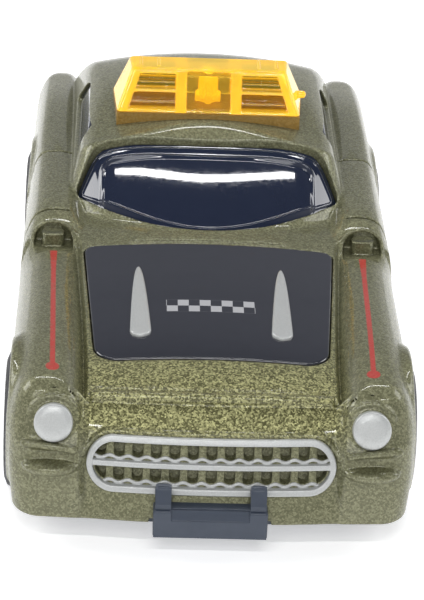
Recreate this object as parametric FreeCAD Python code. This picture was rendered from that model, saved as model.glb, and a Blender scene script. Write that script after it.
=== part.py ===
"""Friction-driven toy taxi with a painted metal body, in millimetres.

The car drives towards -Y, +X is the car's own left-hand side, +Z is up.
The origin is on the ground, under the middle of the car.
"""
import FreeCAD, Part
import math
import os

from FreeCAD import Vector

# Driving dimensions -------------------------------------------------------------------------
LENGTH = 76.2
NOSE_Y = -37.4
TAIL_Y = LENGTH / 2
BODY_HALF_WIDTH = 16.4
SILL_Z = 2.5
WALL = 1.1
GAP = 0.06

FRONT_AXLE_Y = -26.4
REAR_AXLE_Y = 14.0
FRONT_TYRE_R = 5.8
REAR_TYRE_R = 6.2
TYRE_INNER_X = 11.9
TYRE_WIDTH = 4.8
RIM_R = 4.3
AXLE_R = 0.75
RUNNING_GAP = 0.05
ARCH_GAP = 0.45
ARCH_SKIN = 0.6

BASE_BOTTOM_Z = 1.75
BASE_TOP_Z = 2.75
SCREW_YS = (-17.0, 30.0)
SCREW_POST_R = 2.0

# Height lines of the body: (position along Y, height).
DECK_LINE = [(-39, 9.8), (-32.3, 11.4), (-27.6, 12.35), (-18, 13.3), (-9.5, 14.0), (-6, 14.3),
             (26, 14.3), (31, 13.6), (35, 12.4), (39, 10.4)]
PONTOON_LINE = [(-39, 6.5), (-36.6, 9.8), (-34.8, 11.9), (-31, 12.8), (-25, 13.25), (-12, 13.1),
                (-8.6, 13.3), (-5.5, 14.7), (-2, 15.1), (12, 15.0), (22, 14.7), (29, 13.9),
                (33.5, 13.0), (36.5, 11.0), (39, 7.5)]
PONTOON_CREST_X = [(-39, 13.1), (-8, 13.2), (4, 13.5), (16, 14.0), (39, 14.0)]
PONTOON_HALF_WIDTH = [(-39, 3.1), (-4, 3.1), (12, 2.9), (22, 2.6), (39, 2.5)]
PONTOON_DROP = 3.2
BONNET_EDGE_X = [(-34, 9.95), (-27.6, 9.95), (-9.5, 10.9)]
ROOF_LINE = [(-10, 18.0), (3.6, 19.55), (11, 20.3), (18, 20.15), (23.5, 19.35), (28.5, 17.0),
             (32.5, 14.2), (36, 11.2)]
ROOF_CROWN = 0.011

# Nose profile as (Y, Z): below the grille, the grille face, and the slope up to the bonnet crease.
NOSE_PROFILE = [(-45, 1.0), (-37.6, 1.0), (NOSE_Y, SILL_Z), (-36.3, 4.9), (-34.9, 8.8), (-32.3, 11.3),
                (-29, 14.0), (-29, 26), (-45, 26)]
FENDER_NOSE_PROFILE = [(-45, 1.0), (-37.6, 1.0), (NOSE_Y, SILL_Z), (-36.7, 6.9), (-36.4, 7.8),
                       (-34.9, 8.3), (-34.2, 11.2), (-32.6, 13.2), (-32.6, 26), (-45, 26)]
NOSE_BOW_R = 50.0
NOSE_HALF_WIDTH = 10.35

# Windscreen, glazing and bonnet panel, as half outlines in plan.
WINDSCREEN_BASE = (-6.9, 14.25)
WINDSCREEN_SWEEP = 6.0
WINDSCREEN_CORNER_X = 11.87
CABIN_Y0 = -7.6
CABIN_Y1 = 33.5
PANEL_REAR = (10.45, -9.7)
PANEL_FRONT = (9.4, -27.6)
PANEL_REAR_ROUND = 1.0
PANEL_FRONT_ROUND = 2.0
PANEL_DEPTH = 0.7
GRILLE_DEPTH = 0.5

HEADLAMP = Vector(12.61, -34.5, 9.95)
HEADLAMP_TILT = 20.0
HEADLAMP_R = 1.55

# Friction drive.
MODULE = 0.4
PRESSURE_ANGLE = math.radians(20)
BACKLASH = 0.11
DRIVE_TEETH = 20
PINION_TEETH = 8
COMPOUND_TEETH = 21
CENTRE_SLACK = 0.06
COMPOUND_ANGLE = 163.0
FLYWHEEL_ANGLE = 168.0
ARBOR_R = 0.6
FLYWHEEL_R = 4.9
PLATE_INNER_X = 5.8
PLATE_T = 0.8
SPACER_PLACES = [(-2.7, 4.5), (-3.0, 11.4), (14.8, 12.7)]


# Small helpers ------------------------------------------------------------------------------
def along(position, stations):
    """Height at a position on a smooth line through the stations."""
    if position <= stations[0][0]:
        return stations[0][1]
    if position >= stations[-1][0]:
        return stations[-1][1]
    index = 0
    while stations[index + 1][0] < position:
        index += 1
    p0, h0 = stations[index]
    p1, h1 = stations[index + 1]
    before = stations[max(index - 1, 0)]
    after = stations[min(index + 2, len(stations) - 1)]
    span = p1 - p0
    slope0 = (h1 - before[1]) / (p1 - before[0]) * span
    slope1 = (after[1] - h0) / (after[0] - p0) * span
    t = (position - p0) / span
    return (h0 * (2 * t ** 3 - 3 * t ** 2 + 1) + slope0 * (t ** 3 - 2 * t ** 2 + t)
            + h1 * (3 * t ** 2 - 2 * t ** 3) + slope1 * (t ** 3 - t ** 2))


def soft_max(a, b, width):
    return 0.5 * (a + b + math.sqrt((a - b) ** 2 + width ** 2))


def soft_min(a, b, width):
    return -soft_max(-a, -b, width)


def box(x0, x1, y0, y1, z0, z1):
    return Part.makeBox(x1 - x0, y1 - y0, z1 - z0, Vector(x0, y0, z0))


def cylinder_x(radius, x0, x1, y, z):
    return Part.makeCylinder(radius, x1 - x0, Vector(x0, y, z), Vector(1, 0, 0))


def cylinder_z(radius, z0, z1, x, y):
    return Part.makeCylinder(radius, z1 - z0, Vector(x, y, z0), Vector(0, 0, 1))


def fuse(shapes):
    return shapes[0].multiFuse(shapes[1:]).removeSplitter() if len(shapes) > 1 else shapes[0]


def mirrored(shape):
    return shape.mirror(Vector(0, 0, 0), Vector(1, 0, 0))


def prism_x(points, x0, x1):
    """Closed (Y, Z) outline swept along X."""
    wire = Part.makePolygon([Vector(x0, y, z) for y, z in points + points[:1]])
    return Part.Face(wire).extrude(Vector(x1 - x0, 0, 0))


def prism_z(points, z0, z1):
    """Closed (X, Y) outline swept along Z."""
    wire = Part.makePolygon([Vector(x, y, z0) for x, y in points + points[:1]])
    return Part.Face(wire).extrude(Vector(0, 0, z1 - z0))


def biggest_solid(shape):
    return max(shape.Solids, key=lambda solid: solid.Volume)


def below(height, x_half, y0, y1, step_x=0.85, step_y=1.3, depth=30.0):
    """Solid under a symmetrical height field height(|x|, y)."""
    columns = int(round(2 * x_half / step_x))
    rows = int(round((y1 - y0) / step_y))
    grid = []
    for i in range(columns + 1):
        x = -x_half + 2 * x_half * i / columns
        grid.append([Vector(x, y0 + (y1 - y0) * j / rows, height(abs(x), y0 + (y1 - y0) * j / rows))
                     for j in range(rows + 1)])
    surface = Part.BSplineSurface()
    surface.interpolate(grid)
    return surface.toShape().extrude(Vector(0, 0, -depth))


# Body form ----------------------------------------------------------------------------------
def lower_height(s, y):
    """Bonnet, fender and deck height at half width s."""
    front = min(max((-7.0 - y) / 3.0, 0.0), 1.0)
    edge = max(0.0, s - along(y, BONNET_EDGE_X))
    deck = along(y, DECK_LINE) - 0.5 * (s / 10) ** 2 - 4.0 * front * edge ** 2
    crest_offset = abs(s - along(y, PONTOON_CREST_X)) / along(y, PONTOON_HALF_WIDTH)
    pontoon = along(y, PONTOON_LINE) - PONTOON_DROP * crest_offset ** 3
    return soft_max(max(deck, 5.0), max(pontoon, 5.0), 0.35)


def cabin_height(s, y):
    """Windscreen, roof and fastback height at half width s."""
    corner = (s / WINDSCREEN_CORNER_X) ** 2
    foot_y = WINDSCREEN_BASE[0] + WINDSCREEN_SWEEP * corner
    foot_z = WINDSCREEN_BASE[1] + 0.45 * corner
    screen = foot_z + (y - foot_y) * (0.46 + 0.32 * (s / 11) ** 2)
    roof = along(y, ROOF_LINE) - ROOF_CROWN * s ** 2
    return soft_min(screen, roof, 0.5)


def plan_wire(inset):
    """Outline of the body seen from above."""
    nose, tail = NOSE_Y, TAIL_Y
    right = [(Vector(0, nose, 0), Vector(7.5, nose + 0.35, 0), Vector(13.4, nose + 1.0, 0)),
             (Vector(13.4, nose + 1.0, 0), Vector(15.4, nose + 2.2, 0), Vector(16.1, nose + 4.6, 0)),
             (Vector(16.1, nose + 4.6, 0), Vector(BODY_HALF_WIDTH, -4, 0), Vector(16.3, 30, 0)),
             (Vector(16.3, 30, 0), Vector(15.0, 35.4, 0), Vector(10.8, tail - 0.5, 0)),
             (Vector(10.8, tail - 0.5, 0), Vector(5.5, tail - 0.12, 0), Vector(0, tail, 0))]
    edges = [Part.Arc(*points).toShape() for points in right]
    edges += [mirrored(edge) for edge in edges]
    wire = Part.Wire(Part.__sortEdges__(edges))
    return wire.makeOffset2D(-inset) if inset else wire


def section_solid(inset):
    """Cross-section of the body sides, swept along the car."""
    points = [(15.9, 0.5), (16.1, SILL_Z), (16.45, 5.5), (16.45, 8.0), (16.2, 10.5), (15.6, 12.4), (14.2, 15.6),
              (14.2, 24)]
    right = [(x - inset, z) for x, z in points]
    outline = right + [(-x, z) for x, z in reversed(right)]
    wire = Part.makePolygon([Vector(x, -50, z) for x, z in outline + outline[:1]])
    return Part.Face(wire).extrude(Vector(0, 100, 0))


def nose_cutters(inset):
    """What the nose profiles leave out: in front of the grille, and in front of each fender."""
    shift_y, shift_z = inset * 0.9, -inset * 0.45
    axis_y = NOSE_Y + NOSE_BOW_R
    profile = [(y + shift_y, z + shift_z) for y, z in NOSE_PROFILE]
    wire = Part.makePolygon([Vector(0, y, z) for y, z in profile + profile[:1]])
    face = Part.Face(wire)
    face.rotate(Vector(0, axis_y, 0), Vector(0, 0, 1), -16)
    middle = face.revolve(Vector(0, axis_y, 0), Vector(0, 0, 1), 32)
    half = NOSE_HALF_WIDTH + inset * 0.5
    middle = middle.common(box(-half, half, -46, -20, 0, 30))
    side = prism_x([(y + shift_y, z + shift_z) for y, z in FENDER_NOSE_PROFILE], half - 0.01, 20)
    return [middle, side, mirrored(side)]


def lower_solid(inset):
    """Lower body, inset all round by a wall thickness."""
    plan = Part.Face(plan_wire(inset)).extrude(Vector(0, 0, 26))
    shape = below(lambda s, y: lower_height(s, y) - inset, 17.5, -39.5, 39.5)
    shape = shape.common(plan).common(section_solid(inset))
    cutters = nose_cutters(inset) + [box(-20, 20, -50, 50, -1, SILL_Z)]
    return biggest_solid(shape.cut(cutters))


def cabin_sides(inset):
    """Leaning cabin sides with plan-rounded ends."""
    points = [(13.0, 11.0), (12.5, 14.2), (11.45, 17.6), (10.7, 19.0), (9.6, 19.9), (9.6, 22)]
    right = [(x - inset, z) for x, z in points]
    outline = right + [(-x, z) for x, z in reversed(right)]
    wire = Part.makePolygon([Vector(x, CABIN_Y0 + inset, z) for x, z in outline + outline[:1]])
    return Part.Face(wire).extrude(Vector(0, CABIN_Y1 - CABIN_Y0 - 2 * inset, 0))


def cabin_solid(inset, floor_z):
    shape = below(lambda s, y: cabin_height(s, y) - inset, 13.5, -9, 36)
    shape = shape.common(cabin_sides(inset))
    return biggest_solid(shape.common(box(-20, 20, -40, 40, floor_z, 30)))


def windscreen_opening(inset):
    """Plan outline of the windscreen opening, swept upwards."""
    corner_y = WINDSCREEN_BASE[0] + WINDSCREEN_SWEEP
    foot = Part.Arc(Vector(-WINDSCREEN_CORNER_X + inset, corner_y + inset, 0),
                    Vector(0, WINDSCREEN_BASE[0] + inset, 0),
                    Vector(WINDSCREEN_CORNER_X - inset, corner_y + inset, 0)).toShape()
    top = Part.Arc(Vector(10.0 - inset, 2.7 - inset, 0), Vector(0, 3.0 - inset, 0),
                   Vector(-10.0 + inset, 2.7 - inset, 0)).toShape()
    right = Part.makeLine(Vector(WINDSCREEN_CORNER_X - inset, corner_y + inset, 0),
                          Vector(10.0 - inset, 2.7 - inset, 0))
    left = Part.makeLine(Vector(-10.0 + inset, 2.7 - inset, 0),
                         Vector(-WINDSCREEN_CORNER_X + inset, corner_y + inset, 0))
    face = Part.Face(Part.Wire([foot, right, top, left]))
    return face.extrude(Vector(0, 0, 12)).translated(Vector(0, 0, 13.4))


def rear_window_opening(inset):
    points = [(7.5, 25.2), (9.0, 30.0), (-9.0, 30.0), (-7.5, 25.2)]
    points = [(x - math.copysign(inset, x), y + (inset if y < 28 else -inset)) for x, y in points]
    return prism_z(points, 13.4, 24)


def side_window_opening(inset):
    points = [(3.4, 15.4), (20.5, 15.4), (17.5, 18.4), (6.2, 18.4)]
    centre_y, centre_z = 12.0, 16.9
    shrink = [(y - math.copysign(inset, y - centre_y), z - math.copysign(inset, z - centre_z)) for y, z in points]
    return prism_x(shrink, -20, 20)


def window_openings(inset):
    return [windscreen_opening(inset), rear_window_opening(inset), side_window_opening(inset)]


def panel_prism(gap):
    """Plan shape of the bonnet panel, with round corners."""
    rear_x, rear_y = PANEL_REAR
    front_x, front_y = PANEL_FRONT
    corners = [Vector(-rear_x, rear_y, 0), Vector(rear_x, rear_y, 0), Vector(front_x, front_y, 0),
               Vector(-front_x, front_y, 0)]
    solid = Part.Face(Part.makePolygon(corners + corners[:1])).extrude(Vector(0, 0, 25))
    for radius, corner_x, corner_y in ((PANEL_REAR_ROUND, rear_x, rear_y), (PANEL_FRONT_ROUND, front_x, front_y)):
        corner_edges = [edge for edge in solid.Edges
                        if abs(edge.tangentAt(edge.FirstParameter).z) > 0.9
                        and abs(edge.CenterOfMass.y - corner_y) < 0.1
                        and abs(abs(edge.CenterOfMass.x) - corner_x) < 0.1]
        solid = solid.makeFillet(radius, corner_edges)
    if not gap:
        return solid
    foot = min(solid.Faces, key=lambda face: face.CenterOfMass.z)
    return Part.Face(foot.OuterWire.makeOffset2D(gap)).extrude(Vector(0, 0, 25))


# Body shell ---------------------------------------------------------------------------------
def headlamp_parts():
    """Brow ring and domed lamp on each fender nose."""
    tilt = math.radians(HEADLAMP_TILT)
    forward = Vector(0, -math.cos(tilt), math.sin(tilt))
    brow = Part.makeCylinder(2.45, 3.4, HEADLAMP - forward * 3.2, forward)
    lamp = Part.makeCylinder(HEADLAMP_R, 1.5, HEADLAMP - forward * 0.8, forward)
    dome_r = 3.0
    dome = Part.makeSphere(dome_r, HEADLAMP + forward * (1.0 - dome_r))
    lamp = lamp.common(dome)
    return [brow, lamp, mirrored(brow), mirrored(lamp)]


def grille_frame():
    """Stadium-shaped grille outline, swept along the car."""
    half_width, half_height, centre_z = 9.95, 2.15, 6.85
    left = Vector(-half_width + half_height, -40, centre_z)
    right = Vector(half_width - half_height, -40, centre_z)
    up = Vector(0, 0, half_height)
    side = Vector(half_height, 0, 0)
    edges = [Part.makeLine(left + up, right + up), Part.Arc(right + up, right + side, right - up).toShape(),
             Part.makeLine(right - up, left - up), Part.Arc(left - up, left - side, left + up).toShape()]
    return Part.Wire(edges)


def grille_cut(outer, deeper):
    """Pocket and bars of the grille, from the skin and a skin set back by the pocket's depth."""
    wire = grille_frame()
    ring_width = 0.5
    inside = Part.Face(wire.makeOffset2D(-ring_width)).extrude(Vector(0, 9, 0))
    pocket = inside.cut(deeper)
    bars = [box(-9.6, 9.6, -40, -31, 6.63, 7.07)]
    pitch = 1.47
    for index in range(-6, 6):
        x = (index + 0.5) * pitch
        bars.append(box(x - 0.34, x + 0.34, -40, -31, 4.4, 9.3))
    bars = fuse(bars).common(inside).common(outer)
    return pocket, bars


def screw_posts(inner_lower):
    """Posts inside the body that take the base screws."""
    posts = []
    for y in SCREW_YS:
        post = cylinder_z(SCREW_POST_R, BASE_TOP_Z + 0.05, 15, 0, y)
        posts.append(post.common(inner_lower))
    return posts


def body_shell(outer, inner, lower_outer, grille_back, thin_skin, panel_floor):
    shell = outer.cut(inner)
    shell = shell.fuse(headlamp_parts())
    pocket, bars = grille_cut(lower_outer, grille_back)
    shell = shell.cut(pocket).fuse(bars)
    shell = shell.fuse(screw_posts(inner))
    cutters = window_openings(0.0)
    cutters.append(panel_prism(GAP).cut(panel_floor))
    for y, radius in ((FRONT_AXLE_Y, FRONT_TYRE_R), (REAR_AXLE_Y, REAR_TYRE_R)):
        for side in (-1, 1):
            open_side = cylinder_x(radius + ARCH_GAP, *sorted((side * 15.0, side * 20.0)), y, radius)
            well = cylinder_x(radius + ARCH_GAP, *sorted((side * 11.0, side * 15.1)), y, radius)
            cutters += [open_side, well.common(thin_skin)]
    cutters.append(box(-4.8, 4.8, -45, -34, 0, SILL_Z + 0.35))
    for y in SCREW_YS:
        cutters.append(cylinder_z(0.7, 0, 9, 0, y))
    cutters.append(cylinder_z(PEG_R + 0.1, 15, 25, 0, PEG_Y))
    cutters += door_grooves()
    cutters += scoop_cutters()
    shell = shell.cut(cutters)
    return biggest_solid(shell.fuse(scoop_nubs()).removeSplitter())


def door_grooves():
    """Shut lines of the doors, cut over the shoulder and down the sides."""
    grooves = []
    for y in (-4.4, 8.2):
        for side in (-1, 1):
            x0, x1 = sorted((side * 12.7, side * 17.5))
            grooves.append(box(x0, x1, y - 0.15, y + 0.15, 3.6, 16).cut(
                below(lambda s, yy: lower_height(s, yy) - 0.35, 16.9, y - 1, y + 1, 0.8, 0.5).common(
                    box(-16.0, 16.0, y - 2, y + 2, 0, 20))))
    return grooves


def scoop_cutters():
    """Arched mouth where each front fender runs into the door shoulder."""
    cutters = []
    for side in (-1, 1):
        arch = Part.makeCylinder(1.75, 3.2, Vector(side * 13.5, -9.5, 13.2), Vector(0, 1, 0))
        cutters.append(arch.common(box(-20, 20, -12, 0, 12.95, 18)))
    return cutters


def scoop_nubs():
    """D-shaped bosses in the scoop mouths."""
    nubs = []
    for side in (-1, 1):
        nub = cylinder_z(0.95, 12.6, 13.9, side * 13.6, -7.1)
        nubs.append(nub.common(box(-20, 20, -7.7, 0, 12, 14)))
    return nubs


# Inserts ------------------------------------------------------------------------------------
def bonnet_panel(panel_floor):
    """Dark inlay with two raised teardrops."""
    top = below(lambda s, y: lower_height(s, y) + 0.05, 12, -30, -8, 1.0, 1.3)
    panel = panel_prism(0.0).common(top).cut(panel_floor)
    raised = below(lambda s, y: lower_height(s, y) + 0.3, 12, -30, -8, 1.0, 1.3)
    drops = [teardrop(side).common(raised).cut(panel_floor) for side in (-1, 1)]
    return biggest_solid(panel.fuse(drops).removeSplitter())


def teardrop(side):
    """Drop outline pointing to the rear, swept upwards."""
    tip = Vector(side * 6.1, -13.4, 0)
    centre = Vector(side * 5.85, -23.6, 0)
    radius = 0.88
    left = centre + Vector(-radius, 0.4, 0)
    right = centre + Vector(radius, 0.4, 0)
    edges = [Part.Arc(left, centre - Vector(0, radius, 0), right).toShape(),
             Part.Arc(right, (right + tip) / 2 + Vector(0.22, 0, 0), tip).toShape(),
             Part.Arc(tip, (left + tip) / 2 - Vector(0.22, 0, 0), left).toShape()]
    return Part.Face(Part.Wire(edges)).extrude(Vector(0, 0, 25))


def window_insert(glass_skin):
    """Hollow glazing that fits inside the cabin and fills the window openings."""
    lining = cabin_solid(WALL + GAP, 13.0)
    hollow = cabin_solid(WALL + 1.1, 12.0)
    panes = [opening.common(glass_skin) for opening in window_openings(GAP)]
    shape = lining.fuse(panes).cut(hollow)
    peg_room = cylinder_z(PEG_R + 0.2, 15, 25, 0, PEG_Y)
    post_room = [cylinder_z(SCREW_POST_R + 0.1, 0, 16.5, 0, y) for y in SCREW_YS]
    return biggest_solid(shape.cut([peg_room] + post_room).removeSplitter())


# Light bar ----------------------------------------------------------------------------------
BAR_BOTTOM_Z = 20.25
BAR_TOP_Z = 23.7
BAR_BOTTOM = [(8.35, 5.5), (8.75, 11.4), (-8.75, 11.4), (-8.35, 5.5)]
BAR_TOP = [(7.0, 7.9), (7.0, 11.0), (-7.0, 11.0), (-7.0, 7.9)]
BAR_WALL = 0.85
BAR_TOP_WALL = 0.8
PEG_R = 1.15
PEG_Y = 8.4
BEACON_Y = 9.15
BEACON_R = 0.85
BEACON_COLLAR_R = 1.25
BEACON_STEM = 1.6


def bar_loft(inset, drop):
    wires = []
    for outline, z in ((BAR_BOTTOM, BAR_BOTTOM_Z), (BAR_TOP, BAR_TOP_Z - drop)):
        centre = sum(y for _, y in outline) / 4
        points = [Vector(x - math.copysign(inset, x), y - math.copysign(inset, y - centre), z) for x, y in outline]
        wires.append(Part.makePolygon(points + points[:1]))
    return Part.makeLoft(wires, True, True)


def light_bar_lens(outer_cabin):
    shell = bar_loft(0.0, 0.0).cut(bar_loft(BAR_WALL, BAR_TOP_WALL))
    ribs = [box(x - 0.3, x + 0.3, 5.6, 11.3, BAR_BOTTOM_Z, BAR_TOP_Z).common(bar_loft(0.0, 0.0))
            for x in (-2.5, 2.5)]
    nub = cylinder_x(0.35, 8.3, 8.8, 9.3, 21.0)
    return biggest_solid(shell.fuse(ribs + [nub]).cut(outer_cabin).removeSplitter())


def light_bar_base(outer_cabin):
    sole = prism_z(BAR_BOTTOM, 18.0, BAR_BOTTOM_Z).cut(outer_cabin)
    peg = cylinder_z(PEG_R, 17.2, 20.2, 0, PEG_Y)
    return biggest_solid(sole.fuse(peg).removeSplitter())


def beacon_lamp():
    foot_z = BAR_BOTTOM_Z + 0.06
    collar = cylinder_z(BEACON_COLLAR_R, foot_z, foot_z + 0.6, 0, BEACON_Y)
    stem = cylinder_z(BEACON_R, foot_z, foot_z + BEACON_STEM, 0, BEACON_Y)
    dome = Part.makeSphere(BEACON_R, Vector(0, BEACON_Y, foot_z + BEACON_STEM))
    return fuse([collar, stem, dome])


# Base ---------------------------------------------------------------------------------------
SADDLE_X = 8.6
SADDLE_HALF = 1.0
KEEPER_Z = 6.95
KEEPER_HALF_Y = 3.0
FOOT_YS = (-2.6, 10.2)


def push_bumper():
    """Bracket below the grille, with two overriders."""
    web = box(-4.5, 4.5, -37.6, -33.5, BASE_BOTTOM_Z, SILL_Z + 0.1)
    plate = prism_x([(-LENGTH / 2, BASE_BOTTOM_Z), (-37.0, BASE_BOTTOM_Z), (-37.0, 2.45), (-37.5, 2.65),
                     (-37.25, 3.4), (-37.2, 4.1), (-37.8, 4.1), (-LENGTH / 2, 3.4)], -4.5, 4.5)
    parts = [web, plate]
    for side in (-1, 1):
        x0, x1 = sorted((side * 3.15, side * 4.4))
        parts.append(prism_x([(-37.95, 3.2), (-37.25, 3.3), (-36.8, 4.6), (-36.55, 5.4), (-36.85, 5.9), (-37.4, 5.75),
                              (-37.85, 4.6)],
                             x0, x1))
    return fuse(parts)


def chassis_base():
    plate = Part.Face(plan_wire(WALL + 0.45)).extrude(Vector(0, 0, BASE_TOP_Z - BASE_BOTTOM_Z))
    plate.translate(Vector(0, 0, BASE_BOTTOM_Z))
    parts = [plate.cut(nose_cutters(WALL + 0.3)), push_bumper()]
    for side in (-1, 1):
        x0, x1 = sorted((side * (SADDLE_X - SADDLE_HALF), side * (SADDLE_X + SADDLE_HALF)))
        parts.append(box(x0, x1, FRONT_AXLE_Y - KEEPER_HALF_Y, FRONT_AXLE_Y + KEEPER_HALF_Y, BASE_TOP_Z - 0.2,
                         KEEPER_Z))
    base = fuse(parts)
    cutters = [cylinder_x(AXLE_R + RUNNING_GAP, -12, 12, FRONT_AXLE_Y, FRONT_TYRE_R),
               box(-12, 12, FRONT_AXLE_Y - AXLE_R - RUNNING_GAP, FRONT_AXLE_Y + AXLE_R + RUNNING_GAP,
                   FRONT_TYRE_R, KEEPER_Z + 1)]
    for y, radius in ((FRONT_AXLE_Y, FRONT_TYRE_R), (REAR_AXLE_Y, REAR_TYRE_R)):
        for x0, x1 in ((11.2, 20), (-20, -11.2)):
            cutters.append(box(x0, x1, y - radius - 0.9, y + radius + 0.9, 0, 8))
    cutters.append(box(-5.6, -2.4, REAR_AXLE_Y - 3.4, REAR_AXLE_Y + 3.4, 0, 8))
    for y in SCREW_YS:
        cutters.append(cylinder_z(0.85, 0, 9, 0, y))
        cutters.append(cylinder_z(1.6, 0, BASE_BOTTOM_Z + 0.45, 0, y))
    for x, y in rivet_places():
        cutters.append(cylinder_z(0.45, 0, 9, x, y))
        cutters.append(cylinder_z(0.8, 0, BASE_BOTTOM_Z + 0.3, x, y))
    for x, y in keeper_screw_places():
        cutters.append(cylinder_z(0.45, 4.0, 9, x, y))
    return biggest_solid(base.cut(cutters))


def rivet_places():
    return [(side * 7.9, y) for side in (-1, 1) for y in FOOT_YS]


def keeper_screw_places():
    return [(side * SADDLE_X, FRONT_AXLE_Y - 2.0) for side in (-1, 1)]


def base_screws():
    screws = []
    for y in SCREW_YS:
        head = cylinder_z(1.5, BASE_BOTTOM_Z + 0.02, BASE_BOTTOM_Z + 0.44, 0, y)
        shank = cylinder_z(0.65, BASE_BOTTOM_Z + 0.3, 8.0, 0, y)
        slots = [box(-0.95, 0.95, y - 0.16, y + 0.16, 0, BASE_BOTTOM_Z + 0.25),
                 box(-0.16, 0.16, y - 0.95, y + 0.95, 0, BASE_BOTTOM_Z + 0.25)]
        screws.append(head.fuse(shank).cut(slots))
    return Part.makeCompound(screws)


def front_axle_keeper():
    strap = box(-9.6, 9.6, FRONT_AXLE_Y - KEEPER_HALF_Y, FRONT_AXLE_Y + KEEPER_HALF_Y, KEEPER_Z, KEEPER_Z + 0.8)
    rib = box(-7.0, 7.0, FRONT_AXLE_Y - 0.5, FRONT_AXLE_Y + 0.5, KEEPER_Z + 0.7, KEEPER_Z + 1.4)
    window = box(-6.0, 6.0, FRONT_AXLE_Y + 1.0, FRONT_AXLE_Y + 2.2, KEEPER_Z - 1, KEEPER_Z + 1)
    holes = [cylinder_z(0.5, 4, 12, x, y) for x, y in keeper_screw_places()]
    return biggest_solid(strap.fuse(rib).cut(holes + [window]))


def keeper_screws():
    screws = []
    for x, y in keeper_screw_places():
        head = cylinder_z(0.9, KEEPER_Z + 0.82, KEEPER_Z + 1.4, x, y)
        shank = cylinder_z(0.42, KEEPER_Z - 2.4, KEEPER_Z + 1.0, x, y)
        slot = box(x - 1, x + 1, y - 0.13, y + 0.13, KEEPER_Z + 1.15, KEEPER_Z + 2)
        screws.append(head.fuse(shank).cut(slot))
    return Part.makeCompound(screws)


# Wheels and axles ---------------------------------------------------------------------------
def turned(points, side, y, z):
    """Solid of revolution about the axle: points are (distance from the car's middle, radius)."""
    wire = Part.makePolygon([Vector(x, 0, r) for x, r in points + points[:1]])
    solid = Part.Face(wire).revolve(Vector(0, 0, 0), Vector(1, 0, 0), 360)
    if side < 0:
        solid = mirrored(solid)
    solid.translate(Vector(0, y, z))
    return solid


def hub(side, y, z):
    x0, x1 = TYRE_INNER_X, TYRE_INNER_X + TYRE_WIDTH
    profile = [(x0 + 0.3, AXLE_R), (x0 - 0.6, AXLE_R), (x0 - 0.6, 1.7), (x0 + 1.8, 1.9), (x0 + 1.8, 3.3),
               (x0 + 0.3, 3.5), (x0 + 0.3, RIM_R), (x1 - 0.35, RIM_R), (x1 - 0.15, 4.1), (x1 - 0.15, 3.8),
               (x1 - 0.9, 3.5), (x1 - 1.1, 2.2), (x1 - 0.7, 1.9), (x1 - 0.45, 1.2), (x1 - 0.35, AXLE_R)]
    wheel = turned(profile, side, y, z)
    vents = []
    for index in range(8):
        angle = math.radians(index * 45 + 22.5)
        vents.append(cylinder_x(0.42, *sorted((side * (x0 - 1), side * (x1 + 1))),
                                y + 2.85 * math.cos(angle), z + 2.85 * math.sin(angle)))
    return biggest_solid(wheel.cut(vents))


def tyre(side, y, radius):
    x0, x1 = TYRE_INNER_X, TYRE_INNER_X + TYRE_WIDTH
    groove = 0.25
    profile = [(x0 + 0.3, RIM_R), (x0, RIM_R + 0.5), (x0, radius - 0.9), (x0 + 0.25, radius - 0.3), (x0 + 0.8, radius)]
    for x in (x0 + 1.45, x0 + 2.4, x0 + 3.35):
        profile += [(x - 0.13, radius), (x - 0.13, radius - groove), (x + 0.13, radius - groove), (x + 0.13, radius)]
    profile += [(x1 - 0.8, radius), (x1 - 0.25, radius - 0.3), (x1, radius - 0.9), (x1, RIM_R + 0.5),
                (x1 - 0.35, RIM_R)]
    return turned(profile, side, y, radius)


def axle(y, z):
    half = TYRE_INNER_X + TYRE_WIDTH - 0.3
    return cylinder_x(AXLE_R, -half, half, y, z)


# Friction drive -----------------------------------------------------------------------------
def polar(centre, radius, degrees):
    angle = math.radians(degrees)
    return (centre[0] + radius * math.cos(angle), centre[1] + radius * math.sin(angle))


def mesh_distance(teeth_a, teeth_b):
    return (teeth_a + teeth_b) * MODULE / 2 + CENTRE_SLACK


DRIVE_CENTRE = (REAR_AXLE_Y, REAR_TYRE_R)
COMPOUND_CENTRE = polar(DRIVE_CENTRE, mesh_distance(DRIVE_TEETH, PINION_TEETH), COMPOUND_ANGLE)
FLYWHEEL_CENTRE = polar(COMPOUND_CENTRE, mesh_distance(COMPOUND_TEETH, PINION_TEETH), FLYWHEEL_ANGLE)


def tooth_half_angle(teeth, radius):
    """Half the angle of a tooth at a radius, for an involute flank."""
    pitch_r = teeth * MODULE / 2
    base_r = pitch_r * math.cos(PRESSURE_ANGLE)
    at_pitch = (math.pi * MODULE / 2 - BACKLASH) / (2 * pitch_r)
    start = math.tan(PRESSURE_ANGLE) - PRESSURE_ANGLE
    if radius <= base_r:
        return at_pitch + start
    roll = math.acos(base_r / radius)
    return at_pitch + start - (math.tan(roll) - roll)


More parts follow.
